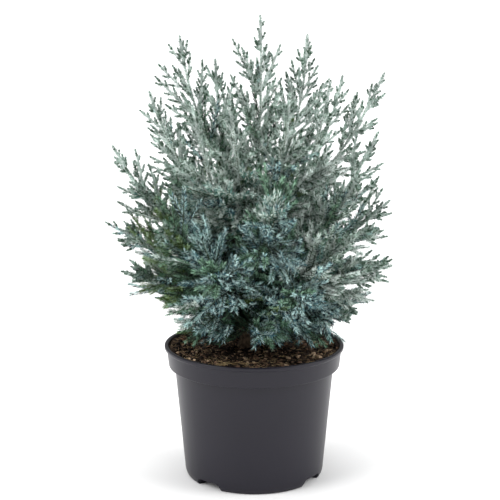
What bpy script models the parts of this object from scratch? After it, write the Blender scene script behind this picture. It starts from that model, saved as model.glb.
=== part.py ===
"""A young sawara cypress with silver-blue foliage, growing in a round nursery pot.

Metres, +Z up. The origin is on the pot's axis at the level that the pot stands on, and the front is towards -Y.
Bearings are in degrees anticlockwise from above, with 0 towards +X and 90 towards the back.
"""
import math
import random

import bmesh
import bpy
from mathutils import Vector

UP = Vector((0.0, 0.0, 1.0))
CLEARANCE = 0.0003          # gap that separate pieces keep where they meet

# Pot: a thin moulded shell with a collar, a small lip, four feet and four drainage channels
POT_HEIGHT = 0.142
LIP_RADIUS = 0.0950
LIP_DEPTH = 0.0045
LIP_EDGE = 0.0006           # chamfer round the top of the lip
COLLAR_TOP_RADIUS = 0.0926
COLLAR_FOOT_RADIUS = 0.0905
COLLAR_FOOT_HEIGHT = 0.1204
LEDGE_RADIUS = 0.0895       # the collar's lower edge, where it turns in to the wall
LEDGE_HEIGHT = 0.1192
WALL_TOP_RADIUS = 0.0842
WALL_TOP_HEIGHT = 0.1185
WALL_FOOT_RADIUS = 0.0742
WALL_FOOT_HEIGHT = 0.0095
FLOOR_RADIUS = 0.0700
WALL = 0.0015
CHANNEL_START = 0.026       # radius where the drainage channels begin
CHANNEL_RAMP = 0.003        # length of the step down to the hub at that radius
CHANNEL_DEPTH = 0.0078
CHANNEL_BEARINGS = (-33.0, 47.5, 149.0, 228.5)
CHANNEL_HALF_WIDTH = 12.5   # degrees at the foot of the arch
CHANNEL_HALF_TOP = 9.5      # degrees at the top of the arch
CORNER_RINGS = (0.0, 0.38, 1.0)     # heights up the rounded corner, as shares of it
FACET = 10.5                # widest step round the pot, in degrees
DRAIN_RADIUS = 0.0040
DRAIN_PLACE = 0.052         # distance of the drain holes from the axis
DRAIN_CUT = 0.020           # half length of the cutter
DRAIN_SIDES = 10

# Compost
SOIL_HEIGHT = 0.1380
SOIL_SLOPE = 0.0010         # how far it falls towards the wall
SOIL_LUMP = 0.0012
SOIL_RIM_LUMP = 0.0004
SOIL_RINGS = (0.074, 0.050)
SOIL_CREST = 0.026
SOIL_GAP = 0.0007           # gap to the collar

# Trunk
TRUNK_FOOT = Vector((-0.0100, 0.0000, SOIL_HEIGHT + CLEARANCE))
TRUNK_TIP = Vector((0.0000, 0.0020, 0.3000))
TRUNK_SWAY = 0.0030
TRUNK_FOOT_RADIUS = 0.0056
TRUNK_TIP_RADIUS = 0.0024
TRUNK_SIDES = 10
FLARE = 0.0034
FLARE_HEIGHT = 0.0065
FLARE_RINGS = (0.0, 0.003, 0.007, 0.013, 0.024)     # heights over the foot
TRUNK_RINGS = 8             # rings above the flare

# Limbs and plumes
BOUGH_FOOT_SHARE = 0.72     # radius of a bough's foot as a share of the trunk's there
BOUGH_TIP_RADIUS = 0.0016
BOUGH_SIDES = 5
BOUGH_RINGS = 5
BOUGH_SHARE = 0.25          # share of its path that a bough takes before its plume begins
STEM_FOOT_RADIUS = 0.0022
STEM_TIP_RADIUS = 0.0011
STEM_SIDES = 3
STEM_FACE = 360.0 / STEM_SIDES
STEM_RINGS = 5
STEM_SHARE = 0.90           # share of the path where the stem ends inside the last spray
PATH_STEPS = 24
STEM_SAMPLES = 30
LIMB_SAMPLES = 12
TRUNK_SAMPLES = 60
SPACE_MARGIN = 0.0016       # least difference between the distances to one's own stem and to another's
LIMB_MARGIN = 0.0012
RIM_MARGIN = (0.010, 0.004)         # room kept inside the collar and over the lip
SOIL_MARGIN = 0.003

# Leaders that stand out of the crown, in the order of their roots going up the trunk: bearing, reach, tip height
LEADERS = {
    "far_left": (184, 0.144, 0.351),
    "far_right": (-8, 0.126, 0.366),
    "rear": (100, 0.126, 0.366),
    "near_left": (229, 0.092, 0.398),
    "back_right": (38, 0.120, 0.416),
    "rear_left": (146, 0.122, 0.372),
    "near_right": (-38, 0.094, 0.421),
    "high_left": (191, 0.107, 0.407),
    "front_left": (252, 0.080, 0.404),
    "outer_right": (2, 0.132, 0.424),
    "front_right": (-64, 0.078, 0.410),
    "back_left": (122, 0.078, 0.434),
    "tall_right": (20, 0.058, 0.462),
    "tall_left": (171, 0.077, 0.461),
}
LEADER_ROOT = 0.204         # height of the lowest leader's root
LEADER_ROOT_STEP = 0.0056
LEADER_BOW = 0.07
LEADER_STRAY = 0.006        # how far a leader's path may curve to one side
TOP_TIP = Vector((0.006, 0.000, 0.482))
TOP_BOW = 0.02
TOP_SIDE = 0.002

# Side plumes below them, wound round the trunk from the lowest to the highest
TIERS = {"skirt": 8, "waist": 10, "shoulder": 10}
TIER_FIRST = 215.0          # bearing of the lowest one
TIER_TURN = 137.5
TIER_ROOTS = (0.149, 0.198)
TIER_TIPS = (0.171, 0.334)
TIER_CROWDING = 1.4         # how far the tips crowd towards the lowest one
TIER_REACH = ((0.171, 0.094), (0.200, 0.118), (0.225, 0.137), (0.255, 0.146), (0.295, 0.136), (0.334, 0.124))
TIER_BOW = (-0.10, 0.06)
TIER_STRAY = 0.005
TIER_SHIFT = (0.012, 0.0)    # how far the ring of tips lies towards +X, at the lowest and the highest one
REACH_SPREAD = 0.004
TIP_SPREAD = 0.006
BEARING_SPREAD = 4.0

# Sprays: toothed spindles that stand out of a plume's stem
SPRAY_STEP = 0.0122         # distance between sprays along a stem
LEAST_SPRAYS = 5
SPRAY_LEANS = (48.0, 26.0)  # degrees from the stem at its foot and at its tip
LEAN_SPREAD = 5.0
SPRAY_STRAY = 16.0          # degrees that a spray turns away from the middle of its face of the stem
LENGTH_SPREAD = (0.88, 1.08)
SPRAY_LENGTHS = (1.0, 0.80, 0.62)   # tried in turn until one fits the plume's own space
SHORTEST_SPRAY = 0.016
TIP_SPRAY = 0.030
FOOT_SHARE = 0.6            # length of the first sprays as a share of the longest
FOOT_GROWTH = 2.0           # how fast they lengthen along the stem
TEETH = ((0.40, 1.00), (0.47, 0.42), (0.75, 0.68))   # place along the spray, and share of its width
SECTION = ((-1.0, -0.5), (1.0, -0.5), (0.0, 1.0))    # corners of a spray's section, across and outwards

# Habits: length of the sprays, half width as a share of it, depth as a share of the width, share at the tip, taper
TOP_HABIT = dict(spray=0.048, fullness=0.16, depth=0.60, tip=0.28, taper=1.9)
LEADER_HABIT = dict(spray=0.052, fullness=0.18, depth=0.60, tip=0.28, taper=1.9)
SIDE_HABIT = dict(spray=0.058, fullness=0.25, depth=0.65, tip=0.45, taper=1.5)
SKIRT_HABIT = dict(spray=0.048, fullness=0.25, depth=0.65, tip=0.45, taper=1.5)

COLOURS = {
    "pot": (0.040, 0.039, 0.045, 0.45),
    "soil": (0.040, 0.026, 0.016, 0.95),
    "bark": (0.130, 0.085, 0.055, 0.85),
    "foliage": (0.190, 0.290, 0.270, 0.60),
}


def clear_scene():
    for obj in list(bpy.data.objects):
        bpy.data.objects.remove(obj, do_unlink=True)


def material(name):
    found = bpy.data.materials.get(name)
    if found:
        return found
    red, green, blue, rough = COLOURS[name]
    made = bpy.data.materials.new(name)
    made.use_nodes = True
    shader = made.node_tree.nodes["Principled BSDF"]
    shader.inputs["Base Color"].default_value = (red, green, blue, 1.0)
    shader.inputs["Roughness"].default_value = rough
    shader.inputs["Metallic"].default_value = 0.0
    return made


def add_object(name, bm, material_name):
    bmesh.ops.recalc_face_normals(bm, faces=bm.faces)
    mesh = bpy.data.meshes.new(name)
    bm.to_mesh(mesh)
    bm.free()
    obj = bpy.data.objects.new(name, mesh)
    bpy.context.scene.collection.objects.link(obj)
    mesh.materials.append(material(material_name))
    return obj


def boolean(obj, others, operation):
    """Joins or cuts obj with all the others in one step, bakes the result and removes the others."""
    tools = bpy.data.collections.new("tools")
    bpy.context.scene.collection.children.link(tools)
    for other in others:
        bpy.context.scene.collection.objects.unlink(other)
        tools.objects.link(other)
    modifier = obj.modifiers.new(operation.lower(), "BOOLEAN")
    modifier.operation = operation
    modifier.operand_type = "COLLECTION"
    modifier.collection = tools
    graph = bpy.context.evaluated_depsgraph_get()
    baked = bpy.data.meshes.new_from_object(obj.evaluated_get(graph))
    old = obj.data
    obj.modifiers.clear()
    obj.data = baked
    bpy.data.meshes.remove(old)
    for other in others:
        bpy.data.objects.remove(other, do_unlink=True)
    bpy.data.collections.remove(tools)
    return obj


def keep_largest(obj):
    """Drops loose scraps and sealed hollows that a union or a cut leaves, so that one closed body stays."""
    bm = bmesh.new()
    bm.from_mesh(obj.data)
    left = set(bm.verts)
    islands = []
    while left:
        stack = [left.pop()]
        island = set(stack)
        while stack:
            for edge in stack.pop().link_edges:
                for vert in edge.verts:
                    if vert in left:
                        left.discard(vert)
                        island.add(vert)
                        stack.append(vert)
        islands.append(island)
    islands.sort(key=len, reverse=True)
    scraps = [vert for island in islands[1:] for vert in island]
    bmesh.ops.delete(bm, geom=scraps, context="VERTS")
    bm.to_mesh(obj.data)
    bm.free()
    return obj


def smooth_sides(obj, degrees=40.0):
    obj.data.shade_smooth()
    obj.data.set_sharp_from_angle(angle=math.radians(degrees))
    return obj


def mix(pair, share):
    return pair[0] + (pair[1] - pair[0]) * share


# Pot and compost

def pot_stations():
    """Stations round the pot as (bearing, side, rise): the corners of each channel's arch and even steps between."""
    arch = (
        (-CHANNEL_HALF_WIDTH, -1, 0.0),
        (-CHANNEL_HALF_TOP, -1, 1.0),
        (0.0, 0, 1.0),
        (CHANNEL_HALF_TOP, 1, 1.0),
        (CHANNEL_HALF_WIDTH, 1, 0.0),
    )
    stations = []
    for i, centre in enumerate(CHANNEL_BEARINGS):
        stations += [(centre + offset, side, rise) for offset, side, rise in arch]
        following = CHANNEL_BEARINGS[(i + 1) % len(CHANNEL_BEARINGS)]
        span = (following - centre) % 360.0 - 2 * CHANNEL_HALF_WIDTH
        steps = math.ceil(span / FACET)
        start = centre + CHANNEL_HALF_WIDTH
        stations += [(start + span * k / steps, 0, 0.0) for k in range(1, steps)]
    return stations


def corner_radius(height):
    """Radius of the rounded corner between floor and wall, outside."""
    share = min(1.0, height / WALL_FOOT_HEIGHT)
    return FLOOR_RADIUS + (WALL_FOOT_RADIUS - FLOOR_RADIUS) * math.sqrt(1.0 - (1.0 - share) ** 2)


def floor_rings(inset):
    """Rings of the floor and its corner, from the axis outwards. Each gives (radius, height, inset) for a rise."""
    def flat(radius, share):
        return lambda rise: (radius, inset + CHANNEL_DEPTH * rise * share, inset)

    def corner(share):
        def ring(rise):
            lifted = share * WALL_FOOT_HEIGHT + CHANNEL_DEPTH * rise * (1.0 - share)
            return corner_radius(lifted) - inset, lifted + inset * (1.0 - share), inset
        return ring
    start = CHANNEL_START - inset
    return [flat(start - CHANNEL_RAMP, 0.0), flat(start, 1.0)] + [corner(share) for share in CORNER_RINGS]


def fixed(radius, height):
    return lambda rise: (radius, height, 0.0)


def collar_rings(inset):
    """Rings from the top of the wall over the ledge to the foot of the collar, going up."""
    return [
        fixed(WALL_TOP_RADIUS - inset, WALL_TOP_HEIGHT + inset),
        fixed(LEDGE_RADIUS - inset, LEDGE_HEIGHT + inset),
        fixed(COLLAR_FOOT_RADIUS - inset, COLLAR_FOOT_HEIGHT + inset),
    ]


def lathe(rings, low, high):
    """A closed turned shape: rings run from the lowest point on the axis to the highest one."""
    bm = bmesh.new()
    rows = []
    for ring in rings:
        row = []
        for bearing, side, rise in pot_stations():
            radius, height, inset = ring(rise)
            angle = math.radians(bearing) + side * inset / radius
            row.append(bm.verts.new((radius * math.cos(angle), radius * math.sin(angle), height)))
        rows.append(row)
    count = len(rows[0])
    for inner, outer in zip(rows, rows[1:]):
        for k in range(count):
            bm.faces.new((inner[k], inner[(k + 1) % count], outer[(k + 1) % count], outer[k]))
    for row, height in ((rows[0], low), (rows[-1], high)):
        hub = bm.verts.new((0.0, 0.0, height))
        for k in range(count):
            bm.faces.new((hub, row[k], row[(k + 1) % count]))
    bmesh.ops.triangulate(bm, faces=bm.faces)
    return bm


def build_pot():
    lip = [
        fixed(COLLAR_TOP_RADIUS, POT_HEIGHT - LIP_DEPTH),
        fixed(LIP_RADIUS, POT_HEIGHT - LIP_DEPTH / 2),
        fixed(LIP_RADIUS - LIP_EDGE, POT_HEIGHT),
        fixed(COLLAR_TOP_RADIUS - WALL, POT_HEIGHT),
    ]
    outside = floor_rings(0.0) + collar_rings(0.0)
    inside = floor_rings(WALL) + collar_rings(WALL)
    pot = add_object("pot", lathe(outside + lip + inside[::-1], 0.0, WALL), "pot")
    drains = []
    for bearing in CHANNEL_BEARINGS:
        place = outward(bearing) * DRAIN_PLACE
        ends = [place - UP * DRAIN_CUT, place + UP * DRAIN_CUT]
        drains.append(add_tube("drain", ends, [DRAIN_RADIUS, DRAIN_RADIUS], DRAIN_SIDES, "pot"))
    return smooth_sides(boolean(pot, drains, "DIFFERENCE"))


def build_soil():
    rng = random.Random(11)
    inset = WALL + CLEARANCE
    edge = COLLAR_TOP_RADIUS - WALL - SOIL_GAP

    def surface(radius, lump):
        def ring(rise):
            fall = SOIL_SLOPE * (radius / edge) ** 2
            return radius, SOIL_HEIGHT - fall + lump * rng.uniform(-1.0, 1.0), 0.0
        return ring
    top = [surface(edge, SOIL_RIM_LUMP)] + [surface(radius, SOIL_LUMP) for radius in SOIL_RINGS]
    rings = floor_rings(inset) + collar_rings(inset) + top + [surface(SOIL_CREST, 0.0)]
    return add_object("compost", lathe(rings, inset, SOIL_HEIGHT), "soil")


# Curves and limbs

def trunk_point(height):
    share = (height - TRUNK_FOOT.z) / (TRUNK_TIP.z - TRUNK_FOOT.z)
    point = TRUNK_FOOT.lerp(TRUNK_TIP, share)
    point.x += TRUNK_SWAY * math.sin(math.pi * share)
    point.y -= TRUNK_SWAY * math.sin(2.0 * math.pi * share)
    return point


def trunk_radius(height):
    share = min(1.0, max(0.0, (height - TRUNK_FOOT.z) / (TRUNK_TIP.z - TRUNK_FOOT.z)))
    flare = FLARE * math.exp(-(height - TRUNK_FOOT.z) / FLARE_HEIGHT)
    return TRUNK_FOOT_RADIUS + (TRUNK_TIP_RADIUS - TRUNK_FOOT_RADIUS) * share + flare


def outward(bearing):
    angle = math.radians(bearing)
    return Vector((math.cos(angle), math.sin(angle), 0.0))


def bowed_path(start, end, bow, side):
    """A quadratic curve whose middle hangs below the straight line for a positive bow and stands over it otherwise."""
    chord = end - start
    level = Vector((chord.x, chord.y, 0.0))
    across = level.normalized()
    sag = across * chord.z - UP * level.length
    middle = start.lerp(end, 0.5) + sag * (2.0 * bow) + across.cross(UP) * side
    shares = [k / PATH_STEPS for k in range(PATH_STEPS + 1)]
    return [start * (1 - t) ** 2 + middle * (2 * t * (1 - t)) + end * t * t for t in shares]


def along(path, share):
    """(point, direction) at this share of the path."""
    place = min(max(share, 0.0), 1.0) * (len(path) - 1)
    k = min(int(place), len(path) - 2)
    return path[k].lerp(path[k + 1], place - k), (path[k + 1] - path[k]).normalized()


def side_axes(direction):
    """Two unit vectors square to a direction that isn't upright, the first one level."""
    level = direction.cross(UP).normalized()
    return level, level.cross(direction).normalized()


def add_tube(name, centres, radii, sides, material_name, level=False):
    """A closed tapering tube. Its rings are square to its line, or all level where that is asked for."""
    bm = bmesh.new()
    rows = []
    for k, (centre, radius) in enumerate(zip(centres, radii)):
        direction = centres[min(k + 1, len(centres) - 1)] - centres[max(k - 1, 0)]
        upright = level or direction.cross(UP).length == 0.0
        first, second = (Vector((1, 0, 0)), Vector((0, 1, 0))) if upright else side_axes(direction.normalized())
        angles = [2.0 * math.pi * s / sides for s in range(sides)]
        rows.append([bm.verts.new(centre + radius * (first * math.cos(a) + second * math.sin(a))) for a in angles])
    for lower, upper in zip(rows, rows[1:]):
        for s in range(sides):
            bm.faces.new((lower[s], lower[(s + 1) % sides], upper[(s + 1) % sides], upper[s]))
    bm.faces.new(rows[0])
    bm.faces.new(rows[-1])
    return add_object(name, bm, material_name)


def build_trunk(name="trunk", extra=0.0):
    """The trunk, or with some extra radius the cutter that seats a limb on it."""
    heights = [TRUNK_FOOT.z + rise for rise in FLARE_RINGS]
    run = TRUNK_TIP.z - heights[-1]
    heights += [heights[-1] + run * k / TRUNK_RINGS for k in range(1, TRUNK_RINGS + 1)]
    radii = [trunk_radius(height) + extra for height in heights]
    return add_tube(name, [trunk_point(height) for height in heights], radii, TRUNK_SIDES, "bark", level=True)


class Plume:
    """One mass of foliage: its path from the trunk, its habit, and how much of the path is a bare bough."""

    def __init__(self, name, path, habit, seed, bough=False):
        self.name = name
        self.path = path
        self.habit = habit
        self.seed = seed
        self.bough = bough
        self.start = BOUGH_SHARE if bough else 0.0
        self.length = sum((b - a).length for a, b in zip(path, path[1:]))

    def share(self, own):
        """Share of the whole path for a share of the plume's own stretch of it."""
        return self.start + (1.0 - self.start) * own

    def stem_line(self):
        return [along(self.path, self.share(k / STEM_SAMPLES))[0] for k in range(STEM_SAMPLES + 1)]


def reach_at(height):
    """How far the side plumes reach from the axis at this height."""
    for (low, near), (high, far) in zip(TIER_REACH, TIER_REACH[1:]):
        if height <= high:
            break
    return mix((near, far), min(1.0, (height - low) / (high - low)))


def plan_leaders(rng):
    plumes = []
    for k, (name, (bearing, reach, tip)) in enumerate(LEADERS.items()):
        start = trunk_point(LEADER_ROOT + LEADER_ROOT_STEP * k)
        end = outward(bearing) * reach + UP * tip
        path = bowed_path(start, end, LEADER_BOW, rng.uniform(-LEADER_STRAY, LEADER_STRAY))
        plumes.append(Plume(name, path, LEADER_HABIT, 20 + k, bough=True))
    return plumes


def plan_tiers(rng):
    names = [(tier, k + 1) for tier, count in TIERS.items() for k in range(count)]
    plumes = []
    for i, (tier, number) in enumerate(names):
        share = i / (len(names) - 1)
        bearing = TIER_FIRST + TIER_TURN * i + rng.uniform(-BEARING_SPREAD, BEARING_SPREAD)
        height = mix(TIER_TIPS, share ** TIER_CROWDING)
        reach = reach_at(height) + rng.uniform(-REACH_SPREAD, REACH_SPREAD)
        tip = height + rng.uniform(-TIP_SPREAD, TIP_SPREAD)
        start = trunk_point(mix(TIER_ROOTS, share))
        end = outward(bearing) * reach + UP * tip
        end.x += mix(TIER_SHIFT, share)
        path = bowed_path(start, end, mix(TIER_BOW, share), rng.uniform(-TIER_STRAY, TIER_STRAY))
        habit = SKIRT_HABIT if tier == "skirt" else SIDE_HABIT
        plumes.append(Plume(f"{tier}_{number}", path, habit, 40 + i))
    return plumes


def plan_plumes():
    """Every plume of the crown: the top one, the leaders and the side plumes."""
    rng = random.Random(7)
    top_path = bowed_path(TRUNK_TIP + UP * CLEARANCE, TOP_TIP, TOP_BOW, TOP_SIDE)
    return [Plume("top", top_path, TOP_HABIT, 1)] + plan_leaders(rng) + plan_tiers(rng)


# Spaces: a point belongs to the plume whose stem is nearest

class Spaces:
    def __init__(self, plumes):
        self.lines = {plume.name: plume.stem_line() for plume in plumes}
        self.limbs = []
        for plume in plumes:
            if plume.bough:
                shares = [BOUGH_SHARE * k / LIMB_SAMPLES for k in range(LIMB_SAMPLES + 1)]
                self.limbs += [(along(plume.path, share)[0], bough_radius(plume, share)) for share in shares]
        for k in range(TRUNK_SAMPLES + 1):
            height = mix((TRUNK_FOOT.z, TRUNK_TIP.z), k / TRUNK_SAMPLES)
            self.limbs.append((trunk_point(height), trunk_radius(height)))

    def holds(self, name, point):
        """True if the point is in the plume's own space, off the limbs, and over the pot and the compost."""
        inside, above = RIM_MARGIN
        if point.z < POT_HEIGHT + above and math.hypot(point.x, point.y) > COLLAR_TOP_RADIUS - inside:
            return False
        if point.z < SOIL_HEIGHT + SOIL_MARGIN:
            return False
        own = min((point - q).length for q in self.lines[name])
        for other, line in self.lines.items():
            if other != name and min((point - q).length for q in line) < own + SPACE_MARGIN:
                return False
        return all((point - centre).length > radius + LIMB_MARGIN for centre, radius in self.limbs)


# Sprays

def spray_corners(root, direction, away, length, habit):
    """Corners of a three-sided spray: one ring of three for each row of teeth and the neck behind it, then the tip."""
    width = length * habit["fullness"]
    depth = width * habit["depth"]
    across = direction.cross(away).normalized()
    out = across.cross(direction).normalized()
    rings = []
    for place, share in TEETH:
        centre = root + direction * (length * place)
        rings.append([centre + across * (x * share * width) + out * (y * share * depth) for x, y in SECTION])
    return rings, root + direction * length


def add_spray(root, rings, tip):
    """A spray of needles as a slim toothed spindle that starts from a point inside the stem."""
    bm = bmesh.new()
    foot = bm.verts.new(root)
    apex = bm.verts.new(tip)
    rows = [[bm.verts.new(corner) for corner in ring] for ring in rings]
    for s in range(3):
        t = (s + 1) % 3
        bm.faces.new((foot, rows[0][s], rows[0][t]))
        for lower, upper in zip(rows, rows[1:]):
            bm.faces.new((lower[s], lower[t], upper[t]))
            bm.faces.new((lower[s], upper[t], upper[s]))
        bm.faces.new((rows[-1][s], rows[-1][t], apex))
    return add_object("spray", bm, "foliage")


def fits(spaces, name, root, rings, tip):
    """Tests the spray's corners and points between them against the plume's own space."""
    samples = [tip] + [corner for ring in rings for corner in ring]
    for lower, upper in zip(rings, rings[1:]):
        samples += [a.lerp(b, 0.5) for a, b in zip(lower, upper)]
    samples += [corner.lerp(tip, 0.5) for corner in rings[-1]]
    samples += [root.lerp(corner, 0.6) for corner in rings[0]]
    return all(spaces.holds(name, sample) for sample in samples)


def spray_length(habit, own):
    """Length of a side spray: full along the middle of the plume, shorter towards both ends."""
    rise = min(1.0, FOOT_SHARE + FOOT_GROWTH * own)
    fall = min(1.0, habit["taper"] * (1.0 - own) + habit["tip"])
    return habit["spray"] * rise * fall


def plan_sprays(plume):
    """(share of the path, direction, away, length) of every spray of the plume, by a seeded rule.

    The stem has three faces, and the sprays leave them in turn.
    """
    rng = random.Random(plume.seed)
    run = plume.length * (1.0 - plume.start)
    count = max(LEAST_SPRAYS, round(run / SPRAY_STEP))
    sprays = []
    for k in range(count):
        own = (k + 0.5) / count
        share = plume.share(own * STEM_SHARE)
        _, ahead = along(plume.path, share)
        first, second = side_axes(ahead)
        turn = math.radians(STEM_FACE * (k + 0.5) + rng.uniform(-SPRAY_STRAY, SPRAY_STRAY))
        away = first * math.cos(turn) + second * math.sin(turn)
        lean = math.radians(mix(SPRAY_LEANS, own) + rng.uniform(-LEAN_SPREAD, LEAN_SPREAD))
        direction = (ahead * math.cos(lean) + away * math.sin(lean)).normalized()
        sprays.append((share, direction, away, spray_length(plume.habit, own) * rng.uniform(*LENGTH_SPREAD)))
    return sprays


# Boughs and plumes

def bough_radius(plume, share):
    foot = BOUGH_FOOT_SHARE * trunk_radius(plume.path[0].z)
    return mix((foot, BOUGH_TIP_RADIUS), share / BOUGH_SHARE)


def build_bough(plume):
    shares = [BOUGH_SHARE * k / (BOUGH_RINGS - 1) for k in range(BOUGH_RINGS)]
    centres = [along(plume.path, share)[0] for share in shares]
    radii = [bough_radius(plume, share) for share in shares]
    bough = add_tube("bough_" + plume.name, centres, radii, BOUGH_SIDES, "bark")
    boolean(bough, [build_trunk("seat", CLEARANCE)], "DIFFERENCE")
    return smooth_sides(keep_largest(bough))


def build_stem(plume):
    """A plume's stem: it starts just clear of its bough, or is cut clear of the trunk where it starts there."""
    start = plume.start + (CLEARANCE / plume.length if plume.bough else 0.0)
    owns = [k / (STEM_RINGS - 1) for k in range(STEM_RINGS)]
    centres = [along(plume.path, mix((start, plume.share(STEM_SHARE)), own))[0] for own in owns]
    radii = [mix((STEM_FOOT_RADIUS, STEM_TIP_RADIUS), own * STEM_SHARE) for own in owns]
    stem = add_tube("foliage_" + plume.name, centres, radii, STEM_SIDES, "foliage")
    if not plume.bough and plume.name != "top":
        boolean(stem, [build_trunk("seat", CLEARANCE)], "DIFFERENCE")
        keep_largest(stem)
    return stem


def build_plume(plume, spaces):
    """The stem with its sprays fused on, each as long as its space allows, and one more at the tip."""
    stem = build_stem(plume)
    sprays = []
    for share, direction, away, wanted in plan_sprays(plume):
        root, _ = along(plume.path, share)
        for part in SPRAY_LENGTHS:
            length = wanted * part
            if length < SHORTEST_SPRAY:
                break
            rings, tip = spray_corners(root, direction, away, length, plume.habit)
            if fits(spaces, plume.name, root, rings, tip):
                sprays.append(add_spray(root, rings, tip))
                break
    root, _ = along(plume.path, 1.0 - TIP_SPRAY / plume.length)
    last = plume.path[-1] - root
    ahead = last.normalized()
    rings, tip = spray_corners(root, ahead, side_axes(ahead)[1], last.length, plume.habit)
    sprays.append(add_spray(root, rings, tip))
    boolean(stem, sprays, "UNION")
    return keep_largest(stem)


def main():
    clear_scene()
    build_pot()
    build_soil()
    smooth_sides(build_trunk())
    plumes = plan_plumes()
    spaces = Spaces(plumes)
    for plume in plumes:
        if plume.bough:
            build_bough(plume)
        build_plume(plume, spaces)


main()
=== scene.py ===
"""Looks of a young sawara cypress with silver-blue foliage in a round nursery pot.

Metres, +Z up, the front towards -Y. The crown grows by the same rule as the solids that it stands for, carried on to
side twigs and single leaves. Bearings are in degrees anticlockwise from above, with 0 towards +X.
"""
import math
import random

import bpy
import numpy as np
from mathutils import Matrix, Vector, noise


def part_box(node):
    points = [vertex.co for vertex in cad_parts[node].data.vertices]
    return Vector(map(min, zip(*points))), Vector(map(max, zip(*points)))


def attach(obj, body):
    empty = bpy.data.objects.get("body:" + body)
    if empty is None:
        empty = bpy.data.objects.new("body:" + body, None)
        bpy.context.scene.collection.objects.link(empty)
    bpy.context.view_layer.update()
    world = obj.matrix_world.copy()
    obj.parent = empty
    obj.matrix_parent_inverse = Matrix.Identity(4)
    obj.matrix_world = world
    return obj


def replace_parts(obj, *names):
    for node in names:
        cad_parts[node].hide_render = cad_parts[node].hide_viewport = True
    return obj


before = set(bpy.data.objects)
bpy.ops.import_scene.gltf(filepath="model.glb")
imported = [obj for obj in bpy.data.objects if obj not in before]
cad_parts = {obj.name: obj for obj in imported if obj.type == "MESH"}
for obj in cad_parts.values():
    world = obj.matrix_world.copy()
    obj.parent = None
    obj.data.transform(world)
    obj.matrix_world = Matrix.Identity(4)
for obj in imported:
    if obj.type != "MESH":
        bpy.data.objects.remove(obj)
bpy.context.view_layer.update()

BODY = "root"
UP = Vector((0.0, 0.0, 1.0))
DEPTH = Vector((0.0, 1.0, 0.0))
ACROSS = Vector((1.0, 0.02, 0.0))

# Pot and compost, as in the solids
POT_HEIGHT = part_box("pot")[1][2]
LIP_RADIUS = 0.0950
LIP_DEPTH = 0.0045
COLLAR_TOP_RADIUS = 0.0926
COLLAR_FOOT_RADIUS = 0.0905
COLLAR_FOOT_HEIGHT = 0.1196
WALL_TOP_RADIUS = 0.0842
WALL_TOP_HEIGHT = 0.1188
WALL_FOOT_RADIUS = 0.0742
WALL_FOOT_HEIGHT = 0.0095
FLOOR_RADIUS = 0.0700
WALL = 0.0015
CHANNEL_START = 0.026
CHANNEL_RAMP = 0.003
CHANNEL_DEPTH = 0.0078
CHANNEL_BEARINGS = (-33.0, 47.5, 149.0, 228.5)
CHANNEL_HALF_WIDTH = 12.5
CHANNEL_HALF_TOP = 9.5
SOIL_HEIGHT = 0.1380
SOIL_SLOPE = 0.0010

# Trunk, boughs and plumes, as in the solids
CLEARANCE = 0.0003
TRUNK_FOOT = Vector((-0.0100, 0.0000, SOIL_HEIGHT + CLEARANCE))
TRUNK_TIP = Vector((0.0000, 0.0020, 0.3000))
TRUNK_SWAY = 0.0030
TRUNK_FOOT_RADIUS = 0.0056
TRUNK_TIP_RADIUS = 0.0024
FLARE = 0.0034
FLARE_HEIGHT = 0.0065
BOUGH_FOOT_SHARE = 0.72
BOUGH_TIP_RADIUS = 0.0016
BOUGH_SHARE = 0.25
STEM_SHARE = 0.90
STEM_FACE = 120.0
PATH_STEPS = 24
LEADERS = {
    "far_left": (184, 0.144, 0.351),
    "far_right": (-8, 0.126, 0.366),
    "rear": (100, 0.126, 0.366),
    "near_left": (229, 0.092, 0.398),
    "back_right": (38, 0.120, 0.416),
    "rear_left": (146, 0.122, 0.372),
    "near_right": (-38, 0.094, 0.421),
    "high_left": (191, 0.107, 0.407),
    "front_left": (252, 0.080, 0.404),
    "outer_right": (2, 0.132, 0.424),
    "front_right": (-64, 0.078, 0.410),
    "back_left": (122, 0.078, 0.434),
    "tall_right": (20, 0.058, 0.462),
    "tall_left": (171, 0.077, 0.461),
}
LEADER_ROOT = 0.204
LEADER_ROOT_STEP = 0.0056
LEADER_BOW = 0.07
LEADER_STRAY = 0.006
TOP_TIP = Vector((0.006, 0.000, 0.482))
TOP_BOW = 0.02
TOP_SIDE = 0.002
TIERS = {"skirt": 8, "waist": 10, "shoulder": 10}
TIER_FIRST = 215.0
TIER_TURN = 137.5
TIER_ROOTS = (0.149, 0.198)
TIER_TIPS = (0.171, 0.334)
TIER_CROWDING = 1.4
TIER_REACH = ((0.171, 0.094), (0.200, 0.118), (0.225, 0.137), (0.255, 0.146), (0.295, 0.136), (0.334, 0.124))
TIER_BOW = (-0.10, 0.06)
TIER_STRAY = 0.005
TIER_SHIFT = (0.012, 0.0)
REACH_SPREAD = 0.004
TIP_SPREAD = 0.006
BEARING_SPREAD = 4.0
SPRAY_STEP = 0.0122
LEAST_SPRAYS = 5
SPRAY_LEANS = (48.0, 26.0)
LEAN_SPREAD = 5.0
SPRAY_STRAY = 16.0
LENGTH_SPREAD = (0.88, 1.08)
TIP_SPRAY = 0.030
FOOT_SHARE = 0.6
FOOT_GROWTH = 2.0
TOP_HABIT = dict(spray=0.048, tip=0.28, taper=1.9)
LEADER_HABIT = dict(spray=0.052, tip=0.28, taper=1.9)
SIDE_HABIT = dict(spray=0.058, tip=0.45, taper=1.5)
SKIRT_HABIT = dict(spray=0.048, tip=0.45, taper=1.5)

# Camera, and the photograph's frame in pixels
CAMERA_PLACE = (-0.0044, -1.384, 0.526)
CAMERA_PITCH = math.radians(11.57)
CAMERA_LENS = 97.2
SENSOR = 36.0
FRAME = 500
FOCAL = CAMERA_LENS / SENSOR * FRAME

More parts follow.
